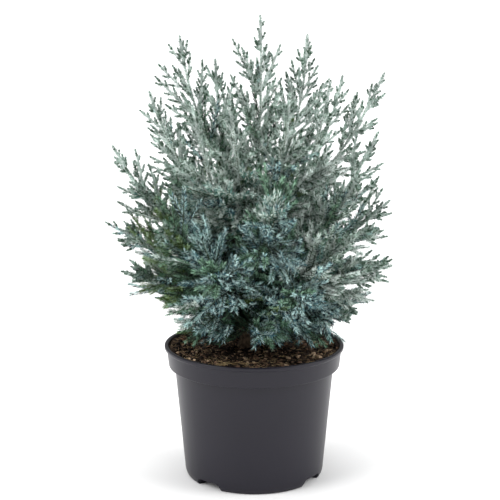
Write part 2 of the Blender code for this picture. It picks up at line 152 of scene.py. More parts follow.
# What the looks add: finer sprays between the solids' ones, dark painted-shade ones inside the crown, side twigs and
# leaves
LEADER_FILL = (1, 0)        # finer sprays for each of the solids', on the lower and the upper half of the plume
SIDE_FILL = (2, 2)
FRONT_FILL = (1, 1)         # side plumes that come forward
FILL_LENGTHS = {"leader": (0.80, 1.20), "side": (0.75, 1.25)}
FILL_TURNS = {"leader": -90.0, "side": 90.0}        # outwards on leaders, upwards on side plumes
FILL_STRAY = 75.0
FILL_LEAN_SPREAD = 8.0
TOP_FILL = (1, 0)
TRIMS = {"near_right": 0.68, "back_right": 0.72, "outer_right": 0.80, "far_right": 0.85, "high_left": 0.85,
         "waist_6": 0.66, "skirt_6": 0.66, "waist_1": 0.90, "shoulder_5": 0.64, "waist_10": 0.86, "shoulder_9": 0.68,
         "back_left": 0.80}
LEADER_TRIM = (1.0, 0.66)   # of the regular sprays, at the foot and at the tip of a leader
SIDE_TRIM = (1.0, 0.74)     # and of a side plume that stands clear at the left or right
LEADER_INNER = dict(count=9, shares=(0.07, 0.50), lengths=(0.038, 0.056), leans=(18.0, 50.0))
SIDE_INNER = dict(count=17, shares=(0.10, 0.55), lengths=(0.032, 0.050), leans=(35.0, 62.0))
LEADER_INNER_MATURE = 0.65
SIDE_INNER_MATURE = 0.25
OPEN_LEADERS = ("near_right", "back_right", "outer_right", "far_right", "far_left")
THIN_SIDES = ("waist_6", "skirt_6", "waist_1", "shoulder_5", "shoulder_1", "shoulder_9", "waist_10")
OPEN_LESS = 3               # inner sprays that these have fewer than the others
THIN_LESS = 6
# Side shoots that stand clear: the tip's pixel in the photograph, and the lean from the stem in degrees
SHOOTS = {
    "top": ((230, 42, 27), (282, 47, 25), (240, 50, 27), (270, 53, 27), (275, 67, 28), (228, 78, 30),
            (284, 104, 28), (237, 100, 28), (248, 71, 28), (246, 122, 26), (249, 138, 24)),
    "tall_left": ((157, 67, 33), (205, 61, 25), (168, 46, 28), (188, 42, 28)),
    "high_left": ((162, 99, 28), (140, 112, 30), (172, 118, 28), (180, 123, 28)),
    "rear_left": ((150, 126, 30), (150, 144, 34), (168, 128, 28), (178, 132, 28), (184, 146, 28)),
    "far_left": ((138, 150, 30), (152, 164, 28), (115, 158, 16)),
    "back_left": ((206, 68, 26), (223, 74, 26), (200, 88, 30), (236, 77, 30), (243, 86, 28),
                  (226, 84, 28), (233, 98, 28)),
    "tall_right": ((297, 51, 28), (315, 60, 28), (290, 62, 28), (284, 74, 32), (318, 80, 28)),
    "near_right": ((312, 92, 28),),
    "back_right": ((349, 91, 24), (350, 106, 28)),
    "outer_right": ((385, 95, 22), (371, 85, 20), (355, 93, 28), (377, 125, 35), (352, 97, 30),
                    (346, 112, 30)),
    "far_right": ((376, 143, 24), (383, 165, 35), (355, 153, 28), (354, 132, 30)),
    "near_left": ((184, 116, 28), (201, 116, 28)),
    "shoulder_1": ((105, 224, 12), (118, 243, 30), (125, 222, 28), (118, 241, 25), (121, 247, 32),
                   (128, 208, 28), (143, 213, 26)),
    "shoulder_9": ((117, 205, 30), (128, 190, 28), (136, 203, 28)),
    "shoulder_5": ((380, 188, 25), (391, 215, 30), (374, 176, 28)),
    "shoulder_10": ((379, 177, 20), (376, 183, 28)),
    "waist_3": ((149, 291, 28), (141, 257, 28), (142, 252, 30)),
    "waist_6": ((122, 264, 28), (140, 285, 28), (131, 254, 30), (134, 258, 28), (145, 250, 30),
                (146, 252, 26)),
    "waist_10": ((390, 237, 25), (386, 231, 20)),
    "waist_2": ((384, 282, 28), (366, 297, 30)),
    "waist_7": ((386, 274, 25), (374, 292, 30)),
    "skirt_6": ((132, 279, 14), (144, 273, 26)),
    "skirt_7": ((344, 327, 28), (355, 315, 28)),
    "front_left": ((220, 112, 26), (237, 114, 26)),
    "front_right": ((281, 104, 26), (297, 106, 26)),
    "rear": ((226, 128, 26), (243, 130, 26), (246, 142, 26)),
}
SHOOT_OWNS = [k / 100.0 for k in range(10, 96)]
SHOOT_LONGEST = 0.062
SHOOT_LONG_COST = 2000.0    # degrees of lean that a metre more than that counts for
# Placed sprays at the front: pixels of the root and the tip, maturity, share of the crown's reach
TAILS = (
    (248, 198, 261, 231, 0.0, 0.93), (247, 247, 241, 229, 0.0, 0.9), (233, 244, 254, 260, 0.0, 0.95),
    (240, 258, 244, 271, 0.0, 0.92), (290, 266, 277, 253, 0.0, 0.94), (283, 257, 304, 271, 0.0, 0.95),
    (268, 262, 276, 274, 0.0, 0.95), (242, 285, 246, 309, 0.0, 0.9), (228, 295, 212, 341, 0.0, 0.93),
    (234, 300, 229, 336, 0.0, 0.88), (268, 283, 279, 307, 0.0, 0.93), (262, 298, 272, 317, 0.0, 0.9),
    (256, 305, 268, 339, 0.0, 0.93), (262, 320, 254, 336, 0.0, 0.9), (272, 320, 280, 343, 0.0, 0.9),
    (298, 288, 290, 308, 0.0, 0.95), (290, 285, 312, 294, 0.0, 0.95), (282, 275, 286, 286, 0.0, 0.92),
    (300, 303, 322, 326, 0.0, 0.95), (287, 310, 297, 334, 0.0, 0.92), (320, 305, 343, 321, 0.2, 0.95),
    (192, 220, 175, 189, 0.0, 0.93), (196, 215, 191, 189, 0.0, 0.93), (222, 216, 235, 188, 0.1, 0.93),
    (226, 252, 200, 233, 0.0, 0.95), (192, 241, 168, 221, 0.0, 0.93), (196, 272, 161, 263, 0.0, 0.95),
    (215, 240, 205, 215, 0.0, 0.94), (187, 262, 165, 243, 0.0, 0.92), (215, 225, 220, 195, 0.0, 0.92),
    (205, 312, 171, 305, 0.0, 0.93), (312, 262, 318, 228, 0.6, 0.93), (322, 275, 345, 235, 0.6, 0.93),
    (330, 290, 362, 262, 0.6, 0.93), (318, 240, 338, 200, 0.6, 0.93), (290, 215, 298, 180, 0.5, 0.93),
    (335, 310, 368, 292, 0.4, 0.93), (305, 285, 330, 262, 0.5, 0.95), (345, 230, 362, 200, 0.6, 0.9),
    (330, 215, 350, 185, 0.6, 0.9), (275, 205, 283, 178, 0.4, 0.93), (265, 190, 262, 165, 0.4, 0.93),
)
CROWN_REACH = ((0.150, 0.085), *TIER_REACH, (0.400, 0.085), (0.480, 0.040))
TAIL_OWNS = [k / 100.0 for k in range(-20, 96, 2)]
TAIL_LENGTHS = (0.030, 0.050)
TAIL_LENGTH_COSTS = (2500.0, 900.0)     # degrees of turn that a metre less or more than these counts for
TAIL_LEAN = 85.0
TAIL_LEAN_COST = 0.6
TAIL_SLACK = -0.030
TAIL_SLACK_COST = 300.0
TAIL_STEPS = (0.0, 0.05, 0.10)          # how much nearer to the trunk a tip may be set
TAIL_STEP_COST = 60.0
FRONT_SPRAYS = {            # number and maturity
    "near_left": (8, 0.18),
    "front_left": (8, 0.18),
    "front_right": (6, 0.30),
    "near_right": (12, 0.40),
}
FRONT_SPRAY_OWNS = (-0.22, 0.45)
FRONT_SPRAY_TURNS = (-150.0, -30.0)
FRONT_SPRAY_LEANS = (34.0, 62.0)
FRONT_SPRAY_LENGTHS = (0.044, 0.060)
GAP_SIDE = (-0.0220, -0.0015)     # the gap in front of the trunk's foot
GAP_TOP = 0.200
FRONT_RISE = 0.20           # how fast the crown's underside rises towards the front
SPRAY_PARTS = (1.0, 0.85, 0.7, 0.55)
TIP_GROWTH = 0.0015
FRONT_FACING = -0.35        # plumes that come forward more than this hold their sprays flat to the front
RANKED_SHARE = (0.50, 1.00)     # of the sprays with side twigs in two rows, juvenile and mature
SPACE_SLACK = -0.012        # how far fine twigs may mingle with the next plume's
SWEEPS = {"leader": 0.25, "shoulder": 0.35, "waist": 0.20, "skirt": 0.10}
DROOPS = {"leader": 0.00, "shoulder": 0.00, "waist": 0.05, "skirt": 0.20}
FRONT_DROOPS = {"leader": 0.00, "shoulder": -0.45, "waist": 0.45, "skirt": 0.70}
STEM_FOOT_RADIUS = 0.0012
STEM_TIP_RADIUS = 0.0005
GOLDEN_ANGLE = math.radians(137.5)
TWIG_STEP = (0.0250, 0.0064)        # juvenile, then mature, as for every pair below
TWIG_SHARE = (0.62, 0.26)           # longest side twig as a share of its spray
TWIG_LIMITS = ((0.0240, 0.0060), (0.0400, 0.0150))
TWIG_FREE = (0.0250, 0.0095)        # bare of side twigs at the end of a spray
TWIG_LEAN = (math.radians(32.0), math.radians(32.0))
LEAF_LENGTH = (0.0058, 0.0042)
LEAF_WIDTH = (0.00078, 0.0018)
CLUB_WIDTH = 0.0026
LEAF_SPREAD = (math.radians(50.0), math.radians(37.0))
WHORL_STEP = (0.00116, 0.0018)
LEAVES_PER_WHORL = 4
CLUB_LENGTH = 0.0074        # end of a mature twig with longer leaves that close over its tip
CLUB_LEAF = 0.0048
CLUB_SPREAD = math.radians(42.0)

# Leaf colours in sRGB, and the light, middle and dark one of each kind of spray
COLOURS = {
    "white": (234, 243, 239),
    "mist": (209, 222, 215),
    "mint": (181, 200, 191),
    "dew": (194, 222, 219),
    "blue": (84, 126, 135),
    "teal": (102, 143, 137),
    "lichen": (146, 184, 158),
    "sage": (152, 178, 142),
    "green": (71, 110, 83),
    "slate": (17, 29, 33),
    "fern": (61, 92, 71),
    "olive": (118, 142, 86),
    "moss": (70, 90, 42),
    "deep": (36, 56, 46),
    "shade": (20, 32, 26),
    "tip": (113, 134, 118),
}
TONES = list(COLOURS)
PALETTES = {
    "pale": ("white", "mist", "fern"),
    "silvery": ("white", "mist", "mint"),
    "bluish": ("dew", "blue", "slate"),
    "grey": ("dew", "teal", "slate"),
    "frosted": ("mist", "teal", "fern"),
    "leafy": ("white", "mint", "fern"),
    "soft": ("lichen", "green", "deep"),
    "grassy": ("sage", "olive", "moss"),
    # dark tones that paint the shade inside the crown and low down
    "shaded": ("green", "deep", "shade"),
    "club": ("mint", "tip", "fern"),
}
KINDS = list(PALETTES)
LIGHT_SHARE = 0.34
DARK_SHARE = 0.42
PAINTED_LIGHT_SHARE = 0.40          # painted light and shade: more light-toned leaves and fewer dark ones on the side that faces up and to the front


def linear(rgb):
    values = [c / 255.0 for c in rgb]
    return tuple(c / 12.92 if c <= 0.04045 else ((c + 0.055) / 1.055) ** 2.4 for c in values)


def mix(pair, share):
    return pair[0] + (pair[1] - pair[0]) * share


def mesh_object(name, verts, faces, material):
    """A piece from a vertex array and an array of faces with the same number of corners each."""
    verts = np.asarray(verts, dtype=np.float32).reshape(-1, 3)
    faces = np.asarray(faces, dtype=np.int32)
    count, corners = faces.shape
    mesh = bpy.data.meshes.new(name)
    mesh.vertices.add(len(verts))
    mesh.vertices.foreach_set("co", verts.ravel())
    mesh.loops.add(count * corners)
    mesh.loops.foreach_set("vertex_index", faces.ravel())
    mesh.polygons.add(count)
    mesh.polygons.foreach_set("loop_start", np.arange(0, count * corners, corners, dtype=np.int32))
    mesh.update(calc_edges=True)
    mesh.validate()
    mesh.materials.append(material)
    obj = bpy.data.objects.new(name, mesh)
    bpy.context.scene.collection.objects.link(obj)
    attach(obj, BODY)
    return obj


# Materials

def new_material(name, colour, roughness, specular=0.5):
    material = bpy.data.materials.new(name)
    material.use_nodes = True
    shader = material.node_tree.nodes["Principled BSDF"]
    shader.inputs["Base Color"].default_value = (*colour, 1.0)
    shader.inputs["Roughness"].default_value = roughness
    shader.inputs["Specular IOR Level"].default_value = specular
    return material, material.node_tree, shader


def mottled(tree, shader, dark, light, scale, detail=4.0, low=0.35, high=0.65):
    """Base colour from noise between two colours, over the object's own coordinates."""
    place = tree.nodes.new("ShaderNodeTexCoord")
    pattern = tree.nodes.new("ShaderNodeTexNoise")
    pattern.inputs["Scale"].default_value = scale
    pattern.inputs["Detail"].default_value = detail
    ramp = tree.nodes.new("ShaderNodeValToRGB")
    ramp.color_ramp.elements[0].position = low
    ramp.color_ramp.elements[1].position = high
    ramp.color_ramp.elements[0].color = (*dark, 1.0)
    ramp.color_ramp.elements[1].color = (*light, 1.0)
    tree.links.new(place.outputs["Object"], pattern.inputs["Vector"])
    tree.links.new(pattern.outputs["Fac"], ramp.inputs["Fac"])
    tree.links.new(ramp.outputs["Color"], shader.inputs["Base Color"])
    return place, pattern


def bumped(tree, shader, place, scale, distance, strength=0.5, detail=6.0):
    grain = tree.nodes.new("ShaderNodeTexNoise")
    grain.inputs["Scale"].default_value = scale
    grain.inputs["Detail"].default_value = detail
    bump = tree.nodes.new("ShaderNodeBump")
    bump.inputs["Strength"].default_value = strength
    bump.inputs["Distance"].default_value = distance
    tree.links.new(place.outputs["Object"], grain.inputs["Vector"])
    tree.links.new(grain.outputs["Fac"], bump.inputs["Height"])
    tree.links.new(bump.outputs["Normal"], shader.inputs["Normal"])


def scaled(colour, factor):
    return tuple(c * factor for c in colour)


def leaf_material(tone):
    colour = linear(COLOURS[tone])
    material, tree, shader = new_material("leaf_" + tone, colour, 0.55, 0.35)
    mottled(tree, shader, scaled(colour, 0.80), scaled(colour, 1.20), 60.0, 2.0)
    return material


def pot_material():
    colour = linear((27, 25, 35))
    material, tree, shader = new_material("charcoal_plastic", colour, 0.38, 0.30)
    place, _ = mottled(tree, shader, scaled(colour, 0.92), scaled(colour, 1.10), 9.0)
    bumped(tree, shader, place, 900.0, 0.00004, 0.35)
    return material


def bark_material(name, dark, light):
    dark, light = linear(dark), linear(light)
    material, tree, shader = new_material(name, light, 0.9, 0.2)
    place, _ = mottled(tree, shader, dark, light, 260.0, 8.0)
    bumped(tree, shader, place, 1400.0, 0.0002)
    return material


def stem_material():
    dark, light = linear((70, 82, 62)), linear((108, 120, 98))
    material, tree, shader = new_material("stem_bark", light, 0.85, 0.2)
    place, _ = mottled(tree, shader, dark, light, 160.0, 6.0)
    bumped(tree, shader, place, 1400.0, 0.0001)
    return material


def twig_material(name, dark, light):
    dark, light = linear(dark), linear(light)
    material, tree, shader = new_material(name, light, 0.8, 0.2)
    mottled(tree, shader, dark, light, 120.0)
    return material


def soil_material(name, dark, light, scale):
    material, tree, shader = new_material(name, linear(dark), 0.95, 0.15)
    place, _ = mottled(tree, shader, linear(dark), linear(light), scale, 8.0)
    bumped(tree, shader, place, scale * 4.0, 0.0004, 0.8)
    return material


# Curves, as in the solids

def trunk_point(height):
    share = (height - TRUNK_FOOT.z) / (TRUNK_TIP.z - TRUNK_FOOT.z)
    point = TRUNK_FOOT.lerp(TRUNK_TIP, share)
    point.x += TRUNK_SWAY * math.sin(math.pi * share)
    point.y -= TRUNK_SWAY * math.sin(2.0 * math.pi * share)
    return point


def trunk_radius(height):
    share = min(1.0, max(0.0, (height - TRUNK_FOOT.z) / (TRUNK_TIP.z - TRUNK_FOOT.z)))
    flare = FLARE * math.exp(-(height - TRUNK_FOOT.z) / FLARE_HEIGHT)
    return TRUNK_FOOT_RADIUS + (TRUNK_TIP_RADIUS - TRUNK_FOOT_RADIUS) * share + flare


def outward(bearing):
    angle = math.radians(bearing)
    return Vector((math.cos(angle), math.sin(angle), 0.0))


def bowed_path(start, end, bow, side):
    chord = end - start
    level = Vector((chord.x, chord.y, 0.0))
    across = level.normalized()
    sag = across * chord.z - UP * level.length
    middle = start.lerp(end, 0.5) + sag * (2.0 * bow) + across.cross(UP) * side
    shares = [k / PATH_STEPS for k in range(PATH_STEPS + 1)]
    return [start * (1 - t) ** 2 + middle * (2 * t * (1 - t)) + end * t * t for t in shares]


def along(path, share):
    place = min(max(share, 0.0), 1.0) * (len(path) - 1)
    k = min(int(place), len(path) - 2)
    return path[k].lerp(path[k + 1], place - k), (path[k + 1] - path[k]).normalized()


def side_axes(direction):
    level = direction.cross(UP).normalized()
    return level, level.cross(direction).normalized()


class Plume:
    """One mass of foliage: its path from the trunk, its habit, and how much of the path is a bough."""

    def __init__(self, name, path, habit, seed, kind, bough=False):
        self.name = name
        self.path = path
        self.habit = habit
        self.seed = seed
        self.kind = kind
        self.bough = bough
        self.start = BOUGH_SHARE if bough else 0.0
        self.length = sum((b - a).length for a, b in zip(path, path[1:]))

    def share(self, own):
        return self.start + (1.0 - self.start) * own


def reach_at(height):
    for (low, near), (high, far) in zip(TIER_REACH, TIER_REACH[1:]):
        if height <= high:
            break
    return mix((near, far), min(1.0, (height - low) / (high - low)))


def plan_leaders(rng):
    plumes = []
    for k, (name, (bearing, reach, tip)) in enumerate(LEADERS.items()):
        start = trunk_point(LEADER_ROOT + LEADER_ROOT_STEP * k)
        end = outward(bearing) * reach + UP * tip
        path = bowed_path(start, end, LEADER_BOW, rng.uniform(-LEADER_STRAY, LEADER_STRAY))
        plumes.append(Plume(name, path, LEADER_HABIT, 20 + k, "leader", bough=True))
    return plumes


def plan_tiers(rng):
    names = [(tier, k + 1) for tier, count in TIERS.items() for k in range(count)]
    plumes = []
    for i, (tier, number) in enumerate(names):
        share = i / (len(names) - 1)
        bearing = TIER_FIRST + TIER_TURN * i + rng.uniform(-BEARING_SPREAD, BEARING_SPREAD)
        height = mix(TIER_TIPS, share ** TIER_CROWDING)
        reach = reach_at(height) + rng.uniform(-REACH_SPREAD, REACH_SPREAD)
        tip = height + rng.uniform(-TIP_SPREAD, TIP_SPREAD)
        start = trunk_point(mix(TIER_ROOTS, share))
        end = outward(bearing) * reach + UP * tip
        end.x += mix(TIER_SHIFT, share)
        path = bowed_path(start, end, mix(TIER_BOW, share), rng.uniform(-TIER_STRAY, TIER_STRAY))
        habit = SKIRT_HABIT if tier == "skirt" else SIDE_HABIT
        plumes.append(Plume(f"{tier}_{number}", path, habit, 40 + i, tier))
    return plumes


def plan_plumes():
    rng = random.Random(7)
    top_path = bowed_path(TRUNK_TIP + UP * CLEARANCE, TOP_TIP, TOP_BOW, TOP_SIDE)
    return [Plume("top", top_path, TOP_HABIT, 1, "leader")] + plan_leaders(rng) + plan_tiers(rng)


def spray_length(habit, own):
    rise = min(1.0, FOOT_SHARE + FOOT_GROWTH * own)
    fall = min(1.0, habit["taper"] * (1.0 - own) + habit["tip"])
    return habit["spray"] * rise * fall


class Spray:
    """The axis of one spray, before it is fitted to its space."""

    def __init__(self, plume, share, own, turn, lean, length, mature=None):
        self.own = own
        self.mature = mature
        self.root, self.ahead = along(plume.path, share)
        first, second = side_axes(self.ahead)
        self.away = first * math.cos(turn) + second * math.sin(turn)
        self.direction = (self.ahead * math.cos(lean) + self.away * math.sin(lean)).normalized()
        self.length = length


def plan_sprays(plume):
    """The solids' sprays by their rule, and finer ones between them."""
    rng = random.Random(plume.seed)
    fill = random.Random(plume.seed + 500)
    group = "leader" if plume.kind == "leader" else "side"
    outer = (plume.path[-1] - plume.path[0]).normalized()
    trim = TRIMS.get(plume.name, 1.0)
    side_fill = FRONT_FILL if outer.y < FRONT_FACING else SIDE_FILL
    fills = TOP_FILL if plume.name == "top" else LEADER_FILL if plume.kind == "leader" else side_fill
    if plume.name in OPEN_LEADERS:
        fills = (0, 0)
    if plume.name in THIN_SIDES:
        fills = (1, 1)
    count = max(LEAST_SPRAYS, round(plume.length * (1.0 - plume.start) / SPRAY_STEP))
    sprays = []
    for k in range(count):
        own = (k + 0.5) / count
        turn = math.radians(STEM_FACE * (k + 0.5) + rng.uniform(-SPRAY_STRAY, SPRAY_STRAY))
        lean = math.radians(mix(SPRAY_LEANS, own) + rng.uniform(-LEAN_SPREAD, LEAN_SPREAD))
        length = spray_length(plume.habit, own) * rng.uniform(*LENGTH_SPREAD)
        length *= mix(LEADER_TRIM, own) if group == "leader" else mix(SIDE_TRIM, own * abs(outer.x))
        length *= trim
        sprays.append(Spray(plume, plume.share(own * STEM_SHARE), own, turn, lean, length))
        extras = fills[0] if own < 0.5 else fills[1]
        for extra in range(extras):
            own = min(1.0, (k + 0.5 + (extra + 1.0) / (extras + 1.0)) / count)
            turn = math.radians(FILL_TURNS[group] + fill.uniform(-FILL_STRAY, FILL_STRAY))
            lean = math.radians(mix(SPRAY_LEANS, own) + fill.uniform(-FILL_LEAN_SPREAD, FILL_LEAN_SPREAD))
            length = spray_length(plume.habit, own) * fill.uniform(*FILL_LENGTHS[group])
            length *= trim if group == "leader" else trim * mix(SIDE_TRIM, own * abs(outer.x))
            sprays.append(Spray(plume, plume.share(own * STEM_SHARE), own, turn, lean, length))
    return sprays


def point_at(px, py, y):
    """The point in the upright plane at y that stands at a pixel of the photograph's frame."""
    rise = (FRAME / 2 - py) / FOCAL
    ahead = y - CAMERA_PLACE[1]
    drop = ahead * (rise * math.cos(CAMERA_PITCH) - math.sin(CAMERA_PITCH))
    above = drop / (math.cos(CAMERA_PITCH) + rise * math.sin(CAMERA_PITCH))
    depth = ahead * math.cos(CAMERA_PITCH) - above * math.sin(CAMERA_PITCH)
    return Vector((CAMERA_PLACE[0] + (px - FRAME / 2) * depth / FOCAL, y, CAMERA_PLACE[2] + above))


def pixels_of(points):
    """Where points stand in the photograph's frame, without its middle."""
    offset = points - np.array(CAMERA_PLACE)
    depth = offset[..., 1] * math.cos(CAMERA_PITCH) - offset[..., 2] * math.sin(CAMERA_PITCH)
    above = offset[..., 1] * math.sin(CAMERA_PITCH) + offset[..., 2] * math.cos(CAMERA_PITCH)
    return np.stack([offset[..., 0] / depth, -above / depth], axis=-1) * FOCAL


def shoot_from(plume, own, px, py, lean):
    """A side shoot from this place on the stem to the tip's pixel, with how far it is from the lean that it should have."""
    root, ahead = along(plume.path, plume.share(own * STEM_SHARE))
    way = point_at(px, py, root.y) - root
    right = DEPTH.cross(ahead)
    first, second = side_axes(ahead)
    turn = math.atan2(right.dot(second), right.dot(first))
    found = math.atan2(way.dot(right.normalized()), way.dot(ahead))
    cost = abs(abs(math.degrees(found)) - lean) + max(0.0, way.length - SHOOT_LONGEST) * SHOOT_LONG_COST
    return cost, own, turn, found, way.length


def plan_shoots(plume):
    """The plume's side shoots that stand clear in the front view, straight and level with its stem."""
    sprays = []
    for px, py, lean in SHOOTS.get(plume.name, ()):
        _, own, turn, found, length = min(shoot_from(plume, own, px, py, lean) for own in SHOOT_OWNS)
        sprays.append(Spray(plume, plume.share(own * STEM_SHARE), own, turn, found, length))
    return sprays


def front_point(px, py, share):
    """The point at a pixel of the photograph's frame and this share of the crown's reach, at the front."""
    heights, reaches = zip(*CROWN_REACH)
    y = -0.1
    for _ in range(12):
        point = point_at(px, py, y)
        reach = np.interp(point.z, heights, reaches) * share
        y = -math.sqrt(max(0.0009, reach * reach - point.x * point.x))
    return np.array(point_at(px, py, y))


def angles_between(first, second):
    return np.degrees(np.arccos(np.clip((unit(first) * unit(second)).sum(axis=-1), -1.0, 1.0)))


def plan_tails(plumes, spaces):
    """The placed sprays that stand out at the front, by the plume whose stem can best carry each."""
    spots = [(index, own) for index, plume in enumerate(plumes) for own in TAIL_OWNS
             if plume.share(own * STEM_SHARE) >= 0.03]
    owners = np.array([index for index, _ in spots])
    lines = [along(plumes[index].path, plumes[index].share(own * STEM_SHARE)) for index, own in spots]
    roots = np.array([tuple(root) for root, _ in lines])
    aheads = np.array([tuple(ahead) for _, ahead in lines])
    tails = {plume.name: [] for plume in plumes}
    for root_x, root_y, tip_x, tip_y, mature, share in TAILS:
        best = None
        for step in TAIL_STEPS:
            tip = front_point(tip_x, tip_y, share - step)
            slack = np.array([spaces.slack(index, tip) for index in range(len(plumes))])[owners]
            length = np.linalg.norm(tip - roots, axis=1)
            cost = angles_between(pixels_of(tip) - pixels_of(roots), np.array([tip_x - root_x, tip_y - root_y]))
            cost += np.maximum(0.0, TAIL_LENGTHS[0] - length) * TAIL_LENGTH_COSTS[0]
            cost += np.maximum(0.0, length - TAIL_LENGTHS[1]) * TAIL_LENGTH_COSTS[1]
            cost += np.maximum(0.0, angles_between(tip - roots, aheads) - TAIL_LEAN) * TAIL_LEAN_COST
            cost += np.maximum(0.0, -slack) * TAIL_SLACK_COST + step * TAIL_STEP_COST
            cost[slack < TAIL_SLACK] = np.inf
            found = int(cost.argmin())
            if best is None or cost[found] < best[0]:
                best = (cost[found], found, tip)
        _, found, tip = best
        index, own = spots[found]
        plume, way, ahead = plumes[index], Vector(tip) - lines[found][0], lines[found][1]
        first, second = side_axes(ahead)
        turn = math.atan2(way.dot(second), way.dot(first))
        share = plume.share(own * STEM_SHARE)
        tails[plume.name].append(Spray(plume, share, own, turn, way.angle(ahead), way.length, mature))
    return tails


def plan_front_sprays(plume):
    """Soft sprays towards the front along the lower half of the leaders that stand there."""
    rng = random.Random(plume.seed + 300)
    count, mature = FRONT_SPRAYS.get(plume.name, (0, 0.0))
    sprays = []
    for k in range(count):
        own = mix(FRONT_SPRAY_OWNS, (k + 0.5) / count)
        turn = math.radians(rng.uniform(*FRONT_SPRAY_TURNS))
        lean = math.radians(rng.uniform(*FRONT_SPRAY_LEANS))
        length = rng.uniform(*FRONT_SPRAY_LENGTHS)
        sprays.append(Spray(plume, plume.share(own * STEM_SHARE), own, turn, lean, length, mature))
    return sprays


def plan_inner_sprays(plume):
    """Sprays that fill the crown's inside, along the bough and the foot of the plume, many in the dark painted-shade
    palette.
    """
    rng = random.Random(plume.seed + 900)
    rule = LEADER_INNER if plume.kind == "leader" else SIDE_INNER
    sprays = []
    less = OPEN_LESS if plume.name in OPEN_LEADERS else THIN_LESS if plume.name in THIN_SIDES else 0
    count = rule["count"] - less
    for k in range(count):
        share = mix(rule["shares"], (k + rng.random()) / count)
        turn = rng.uniform(0.0, 2.0 * math.pi)
        lean = math.radians(rng.uniform(*rule["leans"]))
        sprays.append(Spray(plume, share, 0.0, turn, lean, rng.uniform(*rule["lengths"])))
    return sprays


# Growth of twigs, kept as arrays of quadratic curves with three points each

class Twigs:
    KEYS = ("foot", "tip", "mature", "kind", "level", "phase", "sparse")

    def __init__(self):
        self.points = []
        self.rows = {key: [] for key in self.KEYS}

    def add(self, points, **values):
        self.points.append(points)
        for key in self.KEYS:
            self.rows[key].append(np.broadcast_to(np.asarray(values[key], dtype=float), (len(points),)))

    def arrays(self):
        result = {key: np.concatenate(value) for key, value in self.rows.items()}
        result["points"] = np.concatenate(self.points)
        return result


def unit(vectors):
    return vectors / (np.linalg.norm(vectors, axis=-1, keepdims=True) + 1e-12)


def curve_points(points, t):
    """Points and directions on quadratic curves; points is (n, 3, 3) and t is (n,) or (n, m)."""
    t = t[..., None]
    a, b, c = (points[:, k] for k in range(3))
    if t.ndim == 3:
        a, b, c = a[:, None], b[:, None], c[:, None]
    place = a * (1 - t) ** 2 + b * 2 * t * (1 - t) + c * t * t
    return place, unit((b - a) * (1 - t) + (c - b) * t)


class Spaces:
    """Which plume a point belongs to, and whether it is clear of the pot, the compost and the gap at the trunk."""

    def __init__(self, plumes):
        samples = [[along(p.path, p.share(s / 30))[0] for s in range(31)] for p in plumes]
        self.samples = np.array([[tuple(point) for point in line] for line in samples])

    def slack(self, owner, point):
        """How much nearer the point is to its own stem than to any other, negative where it isn't."""
        gap = np.linalg.norm(self.samples - point, axis=2).min(axis=1)
        own = gap[owner]
        gap[owner] = 1.0
        return gap.min() - own

    def clear(self, points):
        radius = np.hypot(points[:, 0], points[:, 1])
        over_rim = (points[:, 2] > POT_HEIGHT + 0.005) | (radius < COLLAR_TOP_RADIUS - 0.012)
        beside = (points[:, 0] < GAP_SIDE[0]) | (points[:, 0] > GAP_SIDE[1])
        off_gap = beside | (points[:, 2] > GAP_TOP) | (points[:, 1] > 0.02)
        above = points[:, 2] > SOIL_HEIGHT + 0.005 + FRONT_RISE * np.maximum(0.0, -points[:, 1])
        return over_rim & off_gap & above


def maturity(plume, own, root):
    """0 for soft juvenile sprays with long spreading leaves, 1 for slender ones with short close leaves."""
    if plume.kind == "leader":
        return min(1.0, 0.45 + 1.1 * own)
    base = {"shoulder": 0.16, "waist": 0.06, "skirt": 0.0}[plume.kind]
    side = (-root[0] / 0.12 if root[0] < 0.0 else root[0] / 0.085) if root[1] < 0.03 else 0.75
    return min(1.0, base + 0.85 * side * max(0.0, own - 0.15))


# Palettes by place; the shaded one is painted shade: dark sprays set inside the crown and low down
INNER_KINDS = (("shaded", 0.75), ("grassy", 0.10), ("grey", 0.15))
INNER_RADIUS = 0.078
LEADER_INNER_KINDS = (("leafy", 0.40), ("pale", 0.15), ("soft", 0.30), ("shaded", 0.15))
RIGHT_INNER_KINDS = (("leafy", 0.45), ("pale", 0.40), ("soft", 0.15))
LOW_KINDS = (("soft", 0.35), ("bluish", 0.35), ("grassy", 0.12), ("shaded", 0.18))
FRONT_KINDS = (("bluish", 0.45), ("grey", 0.25), ("soft", 0.30))
HIGH_KINDS = (("frosted", 0.60), ("leafy", 0.25), ("bluish", 0.15))
HIGH_FRONT = 0.276          # above it the front is paler
BACK_SIDE = 0.025
GREEN_KINDS = (("grassy", 0.80), ("leafy", 0.12), ("shaded", 0.08))
GREEN_SIDE = -0.054
GREEN_HEIGHT = 0.288
GREEN_SHARE = 0.80
GREEN_TIP_KINDS = (("leafy", 0.55), ("grassy", 0.45))
GREEN_INNER_KINDS = (("grassy", 0.55), ("soft", 0.25), ("shaded", 0.20))
RIGHT_KINDS = (("pale", 0.50), ("leafy", 0.35), ("grey", 0.15))
RIGHT_SIDE = 0.032
RIGHT_SLOPE = 0.7           # how fast that side draws back below RIGHT_HEIGHT
RIGHT_HEIGHT = 0.250
LEADER_LOW_KINDS = (("leafy", 0.35), ("pale", 0.45), ("grassy", 0.10), ("bluish", 0.10))
LEADER_KINDS = (("leafy", 0.26), ("pale", 0.66), ("bluish", 0.08))


def pick(kinds, chance):
    for name, share in kinds:
        chance -= share
        if chance <= 0.0:
            break
    return KINDS.index(name)


def on_right(place):
    return place[0] > RIGHT_SIDE + RIGHT_SLOPE * max(0.0, RIGHT_HEIGHT - place[2])


